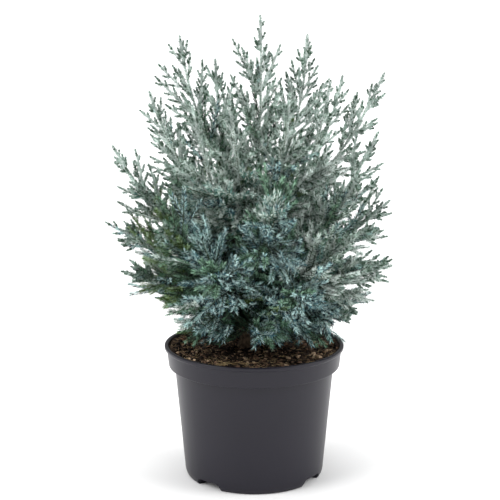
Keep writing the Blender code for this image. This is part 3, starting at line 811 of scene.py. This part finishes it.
def spray_kind(plume, own, place, rng):
    """The palette of a spray, dealt out by its plume and its place, with greener foliage low on the left."""
    outer = own + rng.uniform(-0.15, 0.15) > 0.40
    if place[0] < GREEN_SIDE and place[2] < GREEN_HEIGHT and rng.uniform() < GREEN_SHARE:
        return pick(GREEN_TIP_KINDS if own > 0.65 else GREEN_KINDS, rng.uniform())
    if plume.kind == "leader":
        return pick(LEADER_KINDS if outer else LEADER_LOW_KINDS, rng.uniform())
    if on_right(place):
        return pick(RIGHT_KINDS, rng.uniform())
    if place[2] > HIGH_FRONT:
        return pick(LEADER_KINDS if place[1] > BACK_SIDE else HIGH_KINDS, rng.uniform())
    return pick(FRONT_KINDS if outer else LOW_KINDS, rng.uniform())


def placed_kind(plume, tip, rng):
    if plume.kind == "leader" and on_right(tip):
        return pick(RIGHT_KINDS, rng.uniform())
    high = plume.kind == "leader" and tip[2] > HIGH_FRONT
    return pick(HIGH_KINDS if high else FRONT_KINDS, rng.uniform())


def inner_kinds(plume, tip):
    if tip[0] < GREEN_SIDE and tip[2] < GREEN_HEIGHT:
        return GREEN_INNER_KINDS
    if on_right(tip):
        return RIGHT_INNER_KINDS
    if plume.kind == "leader":
        return LEADER_INNER_KINDS
    if math.hypot(tip[0], tip[1]) > INNER_RADIUS:
        return HIGH_KINDS if tip[2] > HIGH_FRONT else LOW_KINDS
    return INNER_KINDS


class Crown:
    """Grows every plume's sprays and side twigs."""

    def __init__(self, plumes):
        self.twigs = Twigs()
        self.spaces = Spaces(plumes)
        tails = plan_tails(plumes, self.spaces)
        for index, plume in enumerate(plumes):
            rng = np.random.RandomState(plume.seed)
            sprays = plan_sprays(plume) + plan_shoots(plume) + plan_front_sprays(plume) + tails[plume.name]
            for spray in sprays:
                self.grow_spray(index, plume, spray, rng)
            for spray in plan_inner_sprays(plume):
                self.grow_inner(plume, spray, rng)
            self.grow_stem(plume, rng)
            self.grow_tip(plume, rng)

    def grow_spray(self, index, plume, spray, rng):
        placed = spray.mature is not None
        mature = spray.mature if placed else maturity(plume, spray.own, spray.root)
        droop = 0.0 if placed else DROOPS[plume.kind] + FRONT_DROOPS[plume.kind] * max(0.0, -spray.ahead.y)
        bend = np.array((spray.direction + spray.ahead * SWEEPS[plume.kind] - UP * droop).normalized())
        root, direction = np.array(spray.root), np.array(spray.direction)
        for part in SPRAY_PARTS:
            reach = spray.length * part
            tip = root + direction * reach * 0.45 + bend * reach * 0.55
            middle = root + direction * reach * 0.45
            mingles = not placed and self.spaces.slack(index, tip) < SPACE_SLACK
            if self.spaces.clear(np.stack([tip, middle])).all() and not mingles:
                break
        else:
            return
        axis = np.stack([root, root + direction * reach * 0.45, tip])[None]
        kind = placed_kind(plume, tip, rng) if placed else spray_kind(plume, spray.own, root, rng)
        silvery = plume.kind == "leader" and mature > 0.55 and rng.uniform() < 0.6
        axis_kind = KINDS.index("silvery") if silvery else kind
        self.twigs.add(axis, foot=0.0007, tip=0.0003, mature=mature, kind=axis_kind, level=1,
                       phase=rng.uniform(0, 6.28), sparse=1.0)
        away = spray.away if spray.ahead.y > FRONT_FACING else ACROSS
        self.grow_twigs(axis, reach, mature, kind, np.array(away), rng)

    def grow_inner(self, plume, spray, rng):
        root, direction = np.array(spray.root), np.array(spray.direction)
        rise = unit(direction + np.array(UP) * 0.35)
        tip = root + direction * spray.length * 0.5 + rise * spray.length * 0.5
        if not self.spaces.clear(tip[None])[0]:
            return
        axis = np.stack([root, root + direction * spray.length * 0.5, tip])[None]
        kind = pick(inner_kinds(plume, tip), rng.uniform())
        mature = LEADER_INNER_MATURE if plume.kind == "leader" else SIDE_INNER_MATURE
        self.twigs.add(axis, foot=0.0006, tip=0.0003, mature=mature, kind=kind, level=1,
                       phase=rng.uniform(0, 6.28), sparse=1.3)
        self.grow_twigs(axis, spray.length, mature, kind, np.array(spray.away), rng, sparse=1.3)

    def grow_twigs(self, axis, reach, mature, kind, away, rng, sparse=1.0):
        """Side twigs along a spray: two-ranked on mature sprays, all round on juvenile ones."""
        span = max(0.3, 0.90 - mix(TWIG_FREE, mature) / reach)
        count = max(2, round(reach * span / mix(TWIG_STEP, mature)))
        u = 0.10 + span * (np.arange(count) + rng.uniform(0.6, 0.9, count)) / count
        base, ahead = curve_points(np.repeat(axis, count, axis=0), u)
        flat = unit(np.cross(ahead, away[None] + 0.01))
        out = np.cross(flat, ahead)
        ranked = np.arange(count) * math.pi + rng.uniform(-0.5, 0.5) * (1.0 - 0.5 * mature)
        spiral = np.arange(count) * GOLDEN_ANGLE
        angle = np.where(rng.random() < mix(RANKED_SHARE, mature), ranked, spiral)
        angle = angle + rng.uniform(-0.3, 0.3, count) * (1.0 - 0.5 * mature)
        side = out * np.cos(angle)[:, None] + flat * np.sin(angle)[:, None]
        lean = (mix(TWIG_LEAN, mature) * rng.uniform(0.85, 1.12, count))[:, None]
        heading = ahead * np.cos(lean) + side * np.sin(lean)
        envelope = np.minimum(1.0, 0.60 + 2.0 * u) * (1.0 - u) ** 0.7 + 0.15
        size = reach * mix(TWIG_SHARE, mature) * envelope * rng.uniform(0.8, 1.15, count)
        size = np.clip(size, mix(TWIG_LIMITS[0], mature), mix(TWIG_LIMITS[1], mature))
        middle = base + heading * size[:, None] * 0.5
        tips = middle + unit(heading + ahead * 0.2) * size[:, None] * 0.5
        keep = self.spaces.clear(tips) & self.spaces.clear(middle)
        if not keep.any():
            return
        points = np.stack([base, middle, tips], axis=1)[keep]
        self.twigs.add(points, foot=0.00045, tip=0.00022, mature=mature, kind=kind, level=2,
                       phase=rng.uniform(0, 6.28, len(points)), sparse=sparse)

    def grow_stem(self, plume, rng):
        """The leafy stretch of the stem itself, in short curves."""
        parts = 10
        for k in range(parts):
            owns = [0.04 + 0.96 * (k + step) / parts for step in (0.0, 0.5, 1.0)]
            ends = [np.array(along(plume.path, plume.share(own))[0]) for own in owns]
            mature = maturity(plume, owns[1], ends[1])
            kind = KINDS.index("silvery") if mature > 0.75 else spray_kind(plume, owns[1], ends[1], rng)
            self.twigs.add(np.stack(ends)[None], foot=0.0009, tip=0.0007, mature=mature, kind=kind, level=0,
                           phase=k * 1.0, sparse=1.0)

    def grow_tip(self, plume, rng):
        """Side twigs along the end of the stem, as on a spray."""
        share = 1.0 - TIP_SPRAY / plume.length
        ends = [np.array(along(plume.path, s)[0]) for s in (share, (share + 1.0) / 2, 1.0)]
        ends[2] = ends[2] + np.array(along(plume.path, 1.0)[1]) * TIP_GROWTH
        mature = maturity(plume, 1.0, ends[1])
        kind = spray_kind(plume, 0.9, ends[1], rng)
        axis_kind = KINDS.index("silvery") if mature > 0.55 else kind
        self.twigs.add(np.stack(ends)[None], foot=0.0007, tip=0.0003, mature=mature, kind=axis_kind,
                       level=1, phase=1.0, sparse=1.0)
        self.grow_twigs(np.stack(ends)[None], TIP_SPRAY, mature, kind, np.array(ACROSS), rng)


# Leaves

def whorls_of(twigs):
    """The twig of each whorl of leaves, its order there, the number there and the twig's length."""
    points = twigs["points"]
    chord = np.linalg.norm(points[:, 1] - points[:, 0], axis=1) + np.linalg.norm(points[:, 2] - points[:, 1], axis=1)
    counts = np.maximum(3, chord / (mix(WHORL_STEP, twigs["mature"]) * twigs["sparse"])).astype(int)
    twig = np.repeat(np.arange(len(points)), counts)
    order = np.concatenate([np.arange(n) for n in counts])
    return twig, order, counts[twig], chord[twig]


def leaf_tones(kinds, mature, t, facing, rng):
    """Each leaf's tone from its palette, with painted light and shade: lighter facing up and front and at juvenile
    twigs' tips, darker at their feet.
    """
    juvenile = 1.0 - mature
    # painted light and shade: lighter leaves where a leaf faces up and to the front, darker where it faces down and
    # back
    painted_light = PAINTED_LIGHT_SHARE * juvenile * facing
    # painted light and shade within a juvenile twig: lighter leaves towards its tip, darker ones towards its foot
    light = LIGHT_SHARE + 0.20 * mature + 0.12 * juvenile * np.clip((t - 0.6) / 0.4, 0, 1) + painted_light
    dark = DARK_SHARE - 0.18 * mature + 0.25 * juvenile * np.clip(1.0 - t / 0.4, 0, 1) - 0.15 * juvenile * (t > 0.7)
    dark = dark - painted_light
    draw = rng.uniform(size=len(t))
    place = np.where(draw < light, 0, np.where(draw > 1.0 - dark, 2, 1))
    table = np.array([[TONES.index(tone) for tone in PALETTES[kind]] for kind in KINDS])
    return table[kinds, place]


def leaf_arrays(twigs, rng):
    """Four corners and the tone of every leaf. A leaf is a narrow kite folded along its midrib."""
    twig, order, counts, chord = whorls_of(twigs)
    t = (order + rng.uniform(0.45, 0.75, len(order))) / counts
    centre, ahead = curve_points(twigs["points"][twig], t)
    per = LEAVES_PER_WHORL
    twig, order, t, chord = (np.repeat(a, per) for a in (twig, order, t, chord))
    centre, ahead = np.repeat(centre, per, axis=0), np.repeat(ahead, per, axis=0)
    ranks = np.tile(np.arange(per), len(order) // per)
    share = twigs["mature"][twig]
    turned = np.where(share > 0.5, order * (math.pi / per), 0.0)
    angle = twigs["phase"][twig] + turned + ranks * (2 * math.pi / per) + rng.uniform(-0.22, 0.22, len(ranks))
    helper = np.where(np.abs(ahead[:, 2:3]) < 0.9, (0.0, 0.0, 1.0), (1.0, 0.0, 0.0))
    first = unit(np.cross(ahead, helper))
    second = np.cross(first, ahead)
    out = first * np.cos(angle)[:, None] + second * np.sin(angle)[:, None]
    left = (1.0 - t) * chord
    club = (share > 0.5) & (left < CLUB_LENGTH) & (twigs["level"][twig] >= 1)
    closing = np.where(twigs["level"][twig] == 0, 1.0, 1.0 - 0.40 * np.clip((t - 0.8) / 0.2, 0, 1))
    bud = np.clip(left / CLUB_LENGTH, 0, 1)
    spread = np.where(club, CLUB_SPREAD * (0.25 + 0.75 * bud), mix(LEAF_SPREAD, share) * closing)
    length = np.where(club, CLUB_LEAF * (0.60 + 0.40 * bud), mix(LEAF_LENGTH, share))
    spread = spread * rng.uniform(0.9, 1.1, len(t))
    length = length * rng.uniform(0.9, 1.08, len(t))
    width = np.where(club, CLUB_WIDTH, mix(LEAF_WIDTH, share))
    heading = ahead * np.cos(spread)[:, None] + out * np.sin(spread)[:, None]
    side = unit(np.cross(ahead, out))
    lift = np.cross(side, heading)
    foot = centre + out * 0.0002
    tip = foot + heading * length[:, None]
    middle = foot + heading * (length * 0.48)[:, None] - lift * (width * 0.35)[:, None]
    left_side = middle - side * (width * 0.5)[:, None]
    right_side = middle + side * (width * 0.5)[:, None]
    kinds = np.where(club, KINDS.index("club"), twigs["kind"][twig]).astype(int)
    # how far a leaf points up and to the front, which its painted light and shade follow
    facing = out[:, 2] * 0.7 - out[:, 1] * 0.5
    return np.stack([foot, right_side, tip, left_side], axis=1), leaf_tones(kinds, share, t, facing, rng)


def build_leaves(twigs, nodes):
    corners, tones = leaf_arrays(twigs, np.random.RandomState(5))
    for k, name in enumerate(TONES):
        chosen = corners[tones == k]
        print("LEAVES", name, len(chosen))
        material = leaf_material(name)
        parts = max(1, math.ceil(len(chosen) / 95000))
        for part in range(parts):
            piece_corners = chosen[part::parts]
            first = np.arange(len(piece_corners))[:, None] * 4
            faces = np.concatenate([first + np.array([[0, 1, 2]]), first + np.array([[0, 2, 3]])])
            name_part = f"leaves_{name}" + (f"_{part + 1}" if parts > 1 else "")
            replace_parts(mesh_object(name_part, piece_corners, faces, material), *nodes)


def tube_arrays(points, foot, tip, rings):
    """Three-sided tapering twigs that end in a point, as one vertex and one face array."""
    t = np.linspace(0.0, 1.0, rings + 1)[None].repeat(len(points), axis=0)
    centre, ahead = curve_points(points, t)
    helper = np.where(np.abs(ahead[..., 2:3]) < 0.9, (0.0, 0.0, 1.0), (1.0, 0.0, 0.0))
    first = unit(np.cross(ahead, helper))
    second = np.cross(first, ahead)
    radius = (foot[:, None] + (tip - foot)[:, None] * t)[..., None]
    corners = [centre + radius * (first * math.cos(a) + second * math.sin(a)) for a in (0.0, 2.094, 4.189)]
    sides = np.stack(corners, axis=2)[:, :rings].reshape(len(points), rings * 3, 3)
    verts = np.concatenate([sides, centre[:, rings:]], axis=1)
    faces = []
    for r in range(rings - 1):
        for s in range(3):
            a, b = 3 * r + s, 3 * r + (s + 1) % 3
            faces += [(a, b, b + 3), (a, b + 3, a + 3)]
    last = 3 * (rings - 1)
    faces += [(last + s, last + (s + 1) % 3, 3 * rings) for s in range(3)]
    faces = np.array(faces)[None] + (np.arange(len(points)) * (3 * rings + 1))[:, None, None]
    return verts.reshape(-1, 3), faces.reshape(-1, 3)


def build_twigs(twigs, nodes):
    soft = twigs["mature"] < 0.5
    for age, part, dark, light in (("young", soft, (58, 70, 52), (88, 102, 80)),
                                   ("ripe", ~soft, (128, 144, 124), (164, 178, 160))):
        material = twig_material(age + "_twig", dark, light)
        for level, rings in ((0, 2), (1, 3), (2, 1)):
            chosen = part & (twigs["level"] == level)
            verts, faces = tube_arrays(twigs["points"][chosen], twigs["foot"][chosen], twigs["tip"][chosen], rings)
            print("TWIGS", level, len(faces))
            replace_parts(mesh_object(f"twigs_{age}_{level}", verts, faces, material), *nodes)


# Wood

def bark_tube(centres, radii, sides, relief, seed, flat_foot=False):
    """A tube with ridged, flaking bark, as vertex and face lists."""
    verts, faces = [], []
    for k, (centre, radius) in enumerate(zip(centres, radii)):
        before, after = centres[max(k - 1, 0)], centres[min(k + 1, len(centres) - 1)]
        first, second = side_axes((after - before).normalized())
        if flat_foot:
            first, second = Vector((1, 0, 0)), Vector((0, 1, 0))
        for s in range(sides):
            angle = 2.0 * math.pi * s / sides
            spot = Vector((math.cos(angle) * 2.2, math.sin(angle) * 2.2, centre.z * 55.0 + seed))
            ridge = noise.fractal(Vector((spot.x * 2.4, spot.y * 2.4, spot.z)), 0.8, 2.0, 4)
            flake = noise.noise(Vector((spot.x, spot.y, spot.z * 4.0)))
            size = radius * (1.0 + relief * (0.75 * ridge + 0.4 * flake))
            verts.append(centre + (first * math.cos(angle) + second * math.sin(angle)) * size)
    for k in range(len(centres) - 1):
        for s in range(sides):
            a, b = k * sides + s, k * sides + (s + 1) % sides
            faces.append((a, b, b + sides, a + sides))
    return verts, faces


def join_tubes(name, tubes, material):
    all_verts, all_faces = [], []
    for verts, faces in tubes:
        all_faces += [tuple(len(all_verts) + i for i in face) for face in faces]
        all_verts += verts
    piece = mesh_object(name, [tuple(v) for v in all_verts], all_faces, material)
    piece.data.shade_smooth()
    return piece


def build_trunk():
    rings = 150
    foot = TRUNK_FOOT.z + 0.0004
    heights = [mix((foot, TRUNK_TIP.z), k / rings) for k in range(rings + 1)]
    radii = [trunk_radius(h) * 0.97 for h in heights]
    tube = bark_tube([trunk_point(h) for h in heights], radii, 40, 0.12, 0.0, True)
    material = bark_material("bark", (52, 42, 33), (112, 96, 78))
    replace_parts(join_tubes("trunk_bark", [tube], material), "trunk")


def build_boughs(plumes):
    tubes = []
    boughs = [plume for plume in plumes if plume.bough]
    for k, plume in enumerate(boughs):
        shares = [BOUGH_SHARE * 1.05 * i / 40 for i in range(41)]
        foot = BOUGH_FOOT_SHARE * trunk_radius(plume.path[0].z)
        radii = [mix((foot, BOUGH_TIP_RADIUS), min(1.0, share / BOUGH_SHARE)) for share in shares]
        tubes.append(bark_tube([along(plume.path, share)[0] for share in shares], radii, 14, 0.12, 10.0 * k))
    piece = join_tubes("boughs_bark", tubes, bark_material("bough_bark", (30, 32, 26), (62, 62, 50)))
    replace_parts(piece, *["bough_" + plume.name for plume in boughs])


def build_stems(plumes, nodes):
    """The woody part of each plume's stem, thinning towards its tip."""
    tubes = []
    for k, plume in enumerate(plumes):
        owns = [i / 30 for i in range(31)]
        centres = [along(plume.path, plume.share(own * STEM_SHARE))[0] for own in owns]
        radii = [mix((STEM_FOOT_RADIUS, STEM_TIP_RADIUS), own) for own in owns]
        tubes.append(bark_tube(centres, radii, 8, 0.10, 7.0 * k))
    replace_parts(join_tubes("plume_stems", tubes, stem_material()), *nodes)


# Pot

def pot_stations():
    """Stations round the pot as (bearing, side, rise), finer than the solid's, with rounded arches."""
    arch = [(-CHANNEL_HALF_WIDTH, -1, 0.0), (-CHANNEL_HALF_WIDTH + 0.5, -1, 0.45), (-CHANNEL_HALF_WIDTH + 1.3, -1, 0.75),
            (-CHANNEL_HALF_TOP, -1, 0.95), (-CHANNEL_HALF_TOP + 2.0, 0, 1.0), (-CHANNEL_HALF_TOP + 5.0, 0, 1.0)]
    mirrored = [(-bearing, -side, rise) for bearing, side, rise in arch[::-1]]
    arch = arch + [(-1.5, 0, 1.0), (1.5, 0, 1.0)] + mirrored
    stations = []
    for i, centre in enumerate(CHANNEL_BEARINGS):
        stations += [(centre + offset, side, rise) for offset, side, rise in arch]
        following = CHANNEL_BEARINGS[(i + 1) % len(CHANNEL_BEARINGS)]
        span = (following - centre) % 360.0 - 2 * CHANNEL_HALF_WIDTH
        steps = math.ceil(span / 2.6)
        start = centre + CHANNEL_HALF_WIDTH
        stations += [(start + span * k / steps, 0, 0.0) for k in range(1, steps)]
    return stations


def corner_radius(height):
    share = min(1.0, height / WALL_FOOT_HEIGHT)
    return FLOOR_RADIUS + (WALL_FOOT_RADIUS - FLOOR_RADIUS) * math.sqrt(1.0 - (1.0 - share) ** 2)


def floor_rings(inset):
    def flat(radius, share):
        return lambda rise: (radius, inset + CHANNEL_DEPTH * rise * share, inset)

    def corner(share):
        def ring(rise):
            lifted = share * WALL_FOOT_HEIGHT + CHANNEL_DEPTH * rise * (1.0 - share)
            return corner_radius(lifted) - inset, lifted + inset * (1.0 - share), inset
        return ring
    start = CHANNEL_START - inset
    corners = [corner(share) for share in (0.0, 0.03, 0.1, 0.25, 0.5, 0.8, 1.0)]
    return [flat(start - CHANNEL_RAMP, 0.0), flat(start, 1.0), flat(0.052, 1.0)] + corners


def fixed(radius, height):
    return lambda rise: (radius, height, 0.0)


def rounded(points, radius, steps=4):
    """A profile of (radius, height) points with each inner corner turned into a small arc."""
    path = [Vector(p) for p in points]
    result = [path[0]]
    for before, corner, after in zip(path, path[1:], path[2:]):
        reach = min(radius, 0.45 * (before - corner).length, 0.45 * (after - corner).length)
        start = corner + (before - corner).normalized() * reach
        end = corner + (after - corner).normalized() * reach
        for k in range(steps + 1):
            t = k / steps
            result.append(start * (1 - t) ** 2 + corner * (2 * t * (1 - t)) + end * t * t)
    return result + [path[-1]]


def lathe(rings, low, high):
    stations = pot_stations()
    verts, faces = [], []
    for ring in rings:
        for bearing, side, rise in stations:
            radius, height, inset = ring(rise)
            angle = math.radians(bearing) + side * inset / radius
            verts.append((radius * math.cos(angle), radius * math.sin(angle), height))
    count = len(stations)
    for r in range(len(rings) - 1):
        for k in range(count):
            a, b = r * count + k, r * count + (k + 1) % count
            faces += [(a, b, b + count), (a, b + count, a + count)]
    for row, height, order in ((0, low, -1), (len(rings) - 1, high, 1)):
        hub = len(verts)
        verts.append((0.0, 0.0, height))
        faces += [(hub, row * count + k, row * count + (k + 1) % count)[::order] for k in range(count)]
    return verts, faces


def build_pot():
    profile = [
        (WALL_FOOT_RADIUS, WALL_FOOT_HEIGHT),
        (WALL_TOP_RADIUS, WALL_TOP_HEIGHT),
        (COLLAR_FOOT_RADIUS, COLLAR_FOOT_HEIGHT),
        (COLLAR_TOP_RADIUS, POT_HEIGHT - LIP_DEPTH),
        (LIP_RADIUS, POT_HEIGHT - 0.75 * LIP_DEPTH),
        (LIP_RADIUS, POT_HEIGHT),
        (COLLAR_TOP_RADIUS - WALL, POT_HEIGHT),
        (COLLAR_FOOT_RADIUS - WALL, COLLAR_FOOT_HEIGHT + WALL),
        (WALL_TOP_RADIUS - WALL, WALL_TOP_HEIGHT + WALL),
    ]
    wall = [fixed(p.x, p.y) for p in rounded(profile, 0.0012)[1:]]
    rings = floor_rings(0.0) + wall + floor_rings(WALL)[::-1]
    verts, faces = lathe(rings, 0.0, WALL)
    pot = mesh_object("pot_shell", verts, faces, pot_material())
    pot.data.shade_smooth()
    pot.data.set_sharp_from_angle(angle=math.radians(50.0))
    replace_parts(pot, "pot")


# Compost

SOIL_BANK = 0.0026          # how far the compost is banked up against the wall


def soil_level(x, y):
    radius = math.hypot(x, y) / 0.0905
    lumps = noise.fractal(Vector((x * 60.0, y * 60.0, 3.0)), 0.9, 2.0, 5)
    bank = SOIL_BANK * max(0.0, radius - 0.75) / 0.25
    return SOIL_HEIGHT - SOIL_SLOPE * radius ** 2 + 0.0018 * lumps - 0.0008 + bank


def build_soil():
    rings, sides = 70, 200
    edge = COLLAR_TOP_RADIUS - WALL - 0.0007
    verts = [(0.0, 0.0, soil_level(0.0, 0.0))]
    for r in range(1, rings + 1):
        radius = edge * r / rings
        for s in range(sides):
            angle = 2.0 * math.pi * s / sides
            x, y = radius * math.cos(angle), radius * math.sin(angle)
            verts.append((x, y, soil_level(x, y)))
    rim = verts[1 + (rings - 1) * sides:]
    verts += [(x, y, SOIL_HEIGHT - 0.012) for x, y, _ in rim]
    faces = [(0, 1 + s, 1 + (s + 1) % sides) for s in range(sides)]
    for r in range(rings):
        for s in range(sides):
            a, b = 1 + r * sides + s, 1 + r * sides + (s + 1) % sides
            faces += [(a, a + sides, b + sides), (a, b + sides, b)]
    material = soil_material("compost", (20, 16, 13), (92, 74, 60), 190.0)
    soil = mesh_object("compost_surface", verts, faces, material)
    soil.data.shade_smooth()
    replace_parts(soil, "compost")
    build_chips()
    build_fibres()


def scatter(rng):
    radius = (COLLAR_TOP_RADIUS - 0.005) * math.sqrt(rng.random())
    angle = rng.uniform(0.0, 2.0 * math.pi)
    return radius * math.cos(angle), radius * math.sin(angle)


CHIPS = {
    "chips_dark": ((16, 12, 10), (48, 38, 31), 1700),
    "chips_mid": ((74, 56, 44), (130, 104, 84), 640),
    "chips_pale": ((140, 114, 90), (200, 174, 146), 260),
}


def build_chips():
    """Crumbs and chips of bark and peat: squashed eight-cornered lumps."""
    rng = random.Random(21)
    corners = [(x, y, z) for x in (-1, 1) for y in (-1, 1) for z in (-1, 1)]
    sides = [(0, 1, 3, 2), (4, 6, 7, 5), (0, 4, 5, 1), (2, 3, 7, 6), (0, 2, 6, 4), (1, 5, 7, 3)]
    for name, (dark, light, count) in CHIPS.items():
        verts, faces = [], []
        for _ in range(count):
            x, y = scatter(rng)
            size = 0.0005 + 0.0017 * rng.random() ** 3
            half = Vector((size * rng.uniform(0.7, 2.0), size * rng.uniform(0.6, 1.1), size * rng.uniform(0.3, 0.8)))
            turn = rng.uniform(0.0, 2.0 * math.pi)
            tilt = rng.uniform(-0.5, 0.5)
            z = soil_level(x, y) + half.z * 0.5
            first = len(verts)
            for corner in corners:
                px, py, pz = (c * h * rng.uniform(0.65, 1.0) for c, h in zip(corner, half))
                pz += px * tilt
                qx = px * math.cos(turn) - py * math.sin(turn)
                qy = px * math.sin(turn) + py * math.cos(turn)
                verts.append((x + qx, y + qy, z + pz))
            faces += [tuple(first + i for i in side) for side in sides]
        mesh_object(name, verts, faces, soil_material(name, dark, light, 300.0))


FIBRES = 480
STALKS = 34                 # in a tangle at the front
STALK_PLACE = (-0.026, -0.067)


def build_fibres():
    """Thin fibres lying on the compost, and a tangle of stalks at the front."""
    rng = random.Random(33)
    points, foot = [], []
    for k in range(FIBRES + STALKS):
        loose = k < FIBRES
        x, y = scatter(rng) if loose else (rng.gauss(STALK_PLACE[0], 0.009), rng.gauss(STALK_PLACE[1], 0.005))
        turn = rng.uniform(0.0, 2.0 * math.pi)
        length = rng.uniform(0.003, 0.011) if loose else rng.uniform(0.009, 0.022)
        bend = rng.uniform(-0.35, 0.35)
        ends = []
        for t in (0.0, 0.5, 1.0):
            run, off = (t - 0.5) * length, bend * length * (0.25 - (t - 0.5) ** 2)
            px = x + run * math.cos(turn) - off * math.sin(turn)
            py = y + run * math.sin(turn) + off * math.cos(turn)
            ends.append((px, py, soil_level(px, py) + 0.0006 + (0.0006 if loose else 0.003) * rng.random()))
        points.append(ends)
        foot.append(rng.uniform(0.00012, 0.0003) if loose else rng.uniform(0.00022, 0.00034))
    foot = np.array(foot)
    verts, faces = tube_arrays(np.array(points), foot, foot * 0.6, 3)
    mesh_object("fibres", verts, faces, soil_material("fibre", (120, 98, 68), (200, 176, 134), 200.0))


# Floor, light and camera

FLOOR_SIZE = 60.0
WORLD_LIGHT = 0.45
SUNS = {                    # where from, strength, width in degrees
    "left": ((-1.0, -0.45, 0.90), 2.0, 38.0),
    "right": ((1.0, -0.20, 0.75), 1.75, 38.0),
    "top": ((0.0, 0.10, 1.00), 1.85, 38.0),
}


def build_stage():
    size = FLOOR_SIZE
    verts = [(-size, -size, 0.0), (size, -size, 0.0), (size, size, 0.0), (-size, size, 0.0)]
    mesh = bpy.data.meshes.new("floor")
    mesh.from_pydata(verts, [], [(0, 1, 2, 3)])
    floor = bpy.data.objects.new("floor", mesh)
    bpy.context.scene.collection.objects.link(floor)
    material, _, _ = new_material("pale_floor", (0.93, 0.93, 0.93), 0.9, 0.1)
    mesh.materials.append(material)


def build_light():
    world = bpy.data.worlds.new("studio")
    world.use_nodes = True
    background = world.node_tree.nodes["Background"]
    background.inputs["Color"].default_value = (1.0, 1.0, 1.0, 1.0)
    background.inputs["Strength"].default_value = WORLD_LIGHT
    bpy.context.scene.world = world
    for name, (source, strength, width) in SUNS.items():
        light = bpy.data.lights.new(name, "SUN")
        light.energy = strength
        light.angle = math.radians(width)
        obj = bpy.data.objects.new(name, light)
        obj.rotation_euler = (-Vector(source)).to_track_quat("-Z", "Y").to_euler()
        bpy.context.scene.collection.objects.link(obj)


def build_camera():
    camera = bpy.data.cameras.new("camera")
    camera.lens = CAMERA_LENS
    camera.sensor_width = SENSOR
    obj = bpy.data.objects.new("camera", camera)
    obj.location = CAMERA_PLACE
    obj.rotation_euler = (math.radians(90.0) - CAMERA_PITCH, 0.0, 0.0)
    bpy.context.scene.collection.objects.link(obj)
    bpy.context.scene.camera = obj


def main():
    bpy.context.scene.view_settings.view_transform = "Standard"
    build_camera()
    build_light()
    build_stage()
    build_pot()
    build_soil()
    plumes = plan_plumes()
    nodes = ["foliage_" + plume.name for plume in plumes]
    build_trunk()
    build_boughs(plumes)
    build_stems(plumes, nodes)
    twigs = Crown(plumes).twigs.arrays()
    build_twigs(twigs, nodes)
    build_leaves(twigs, nodes)


main()
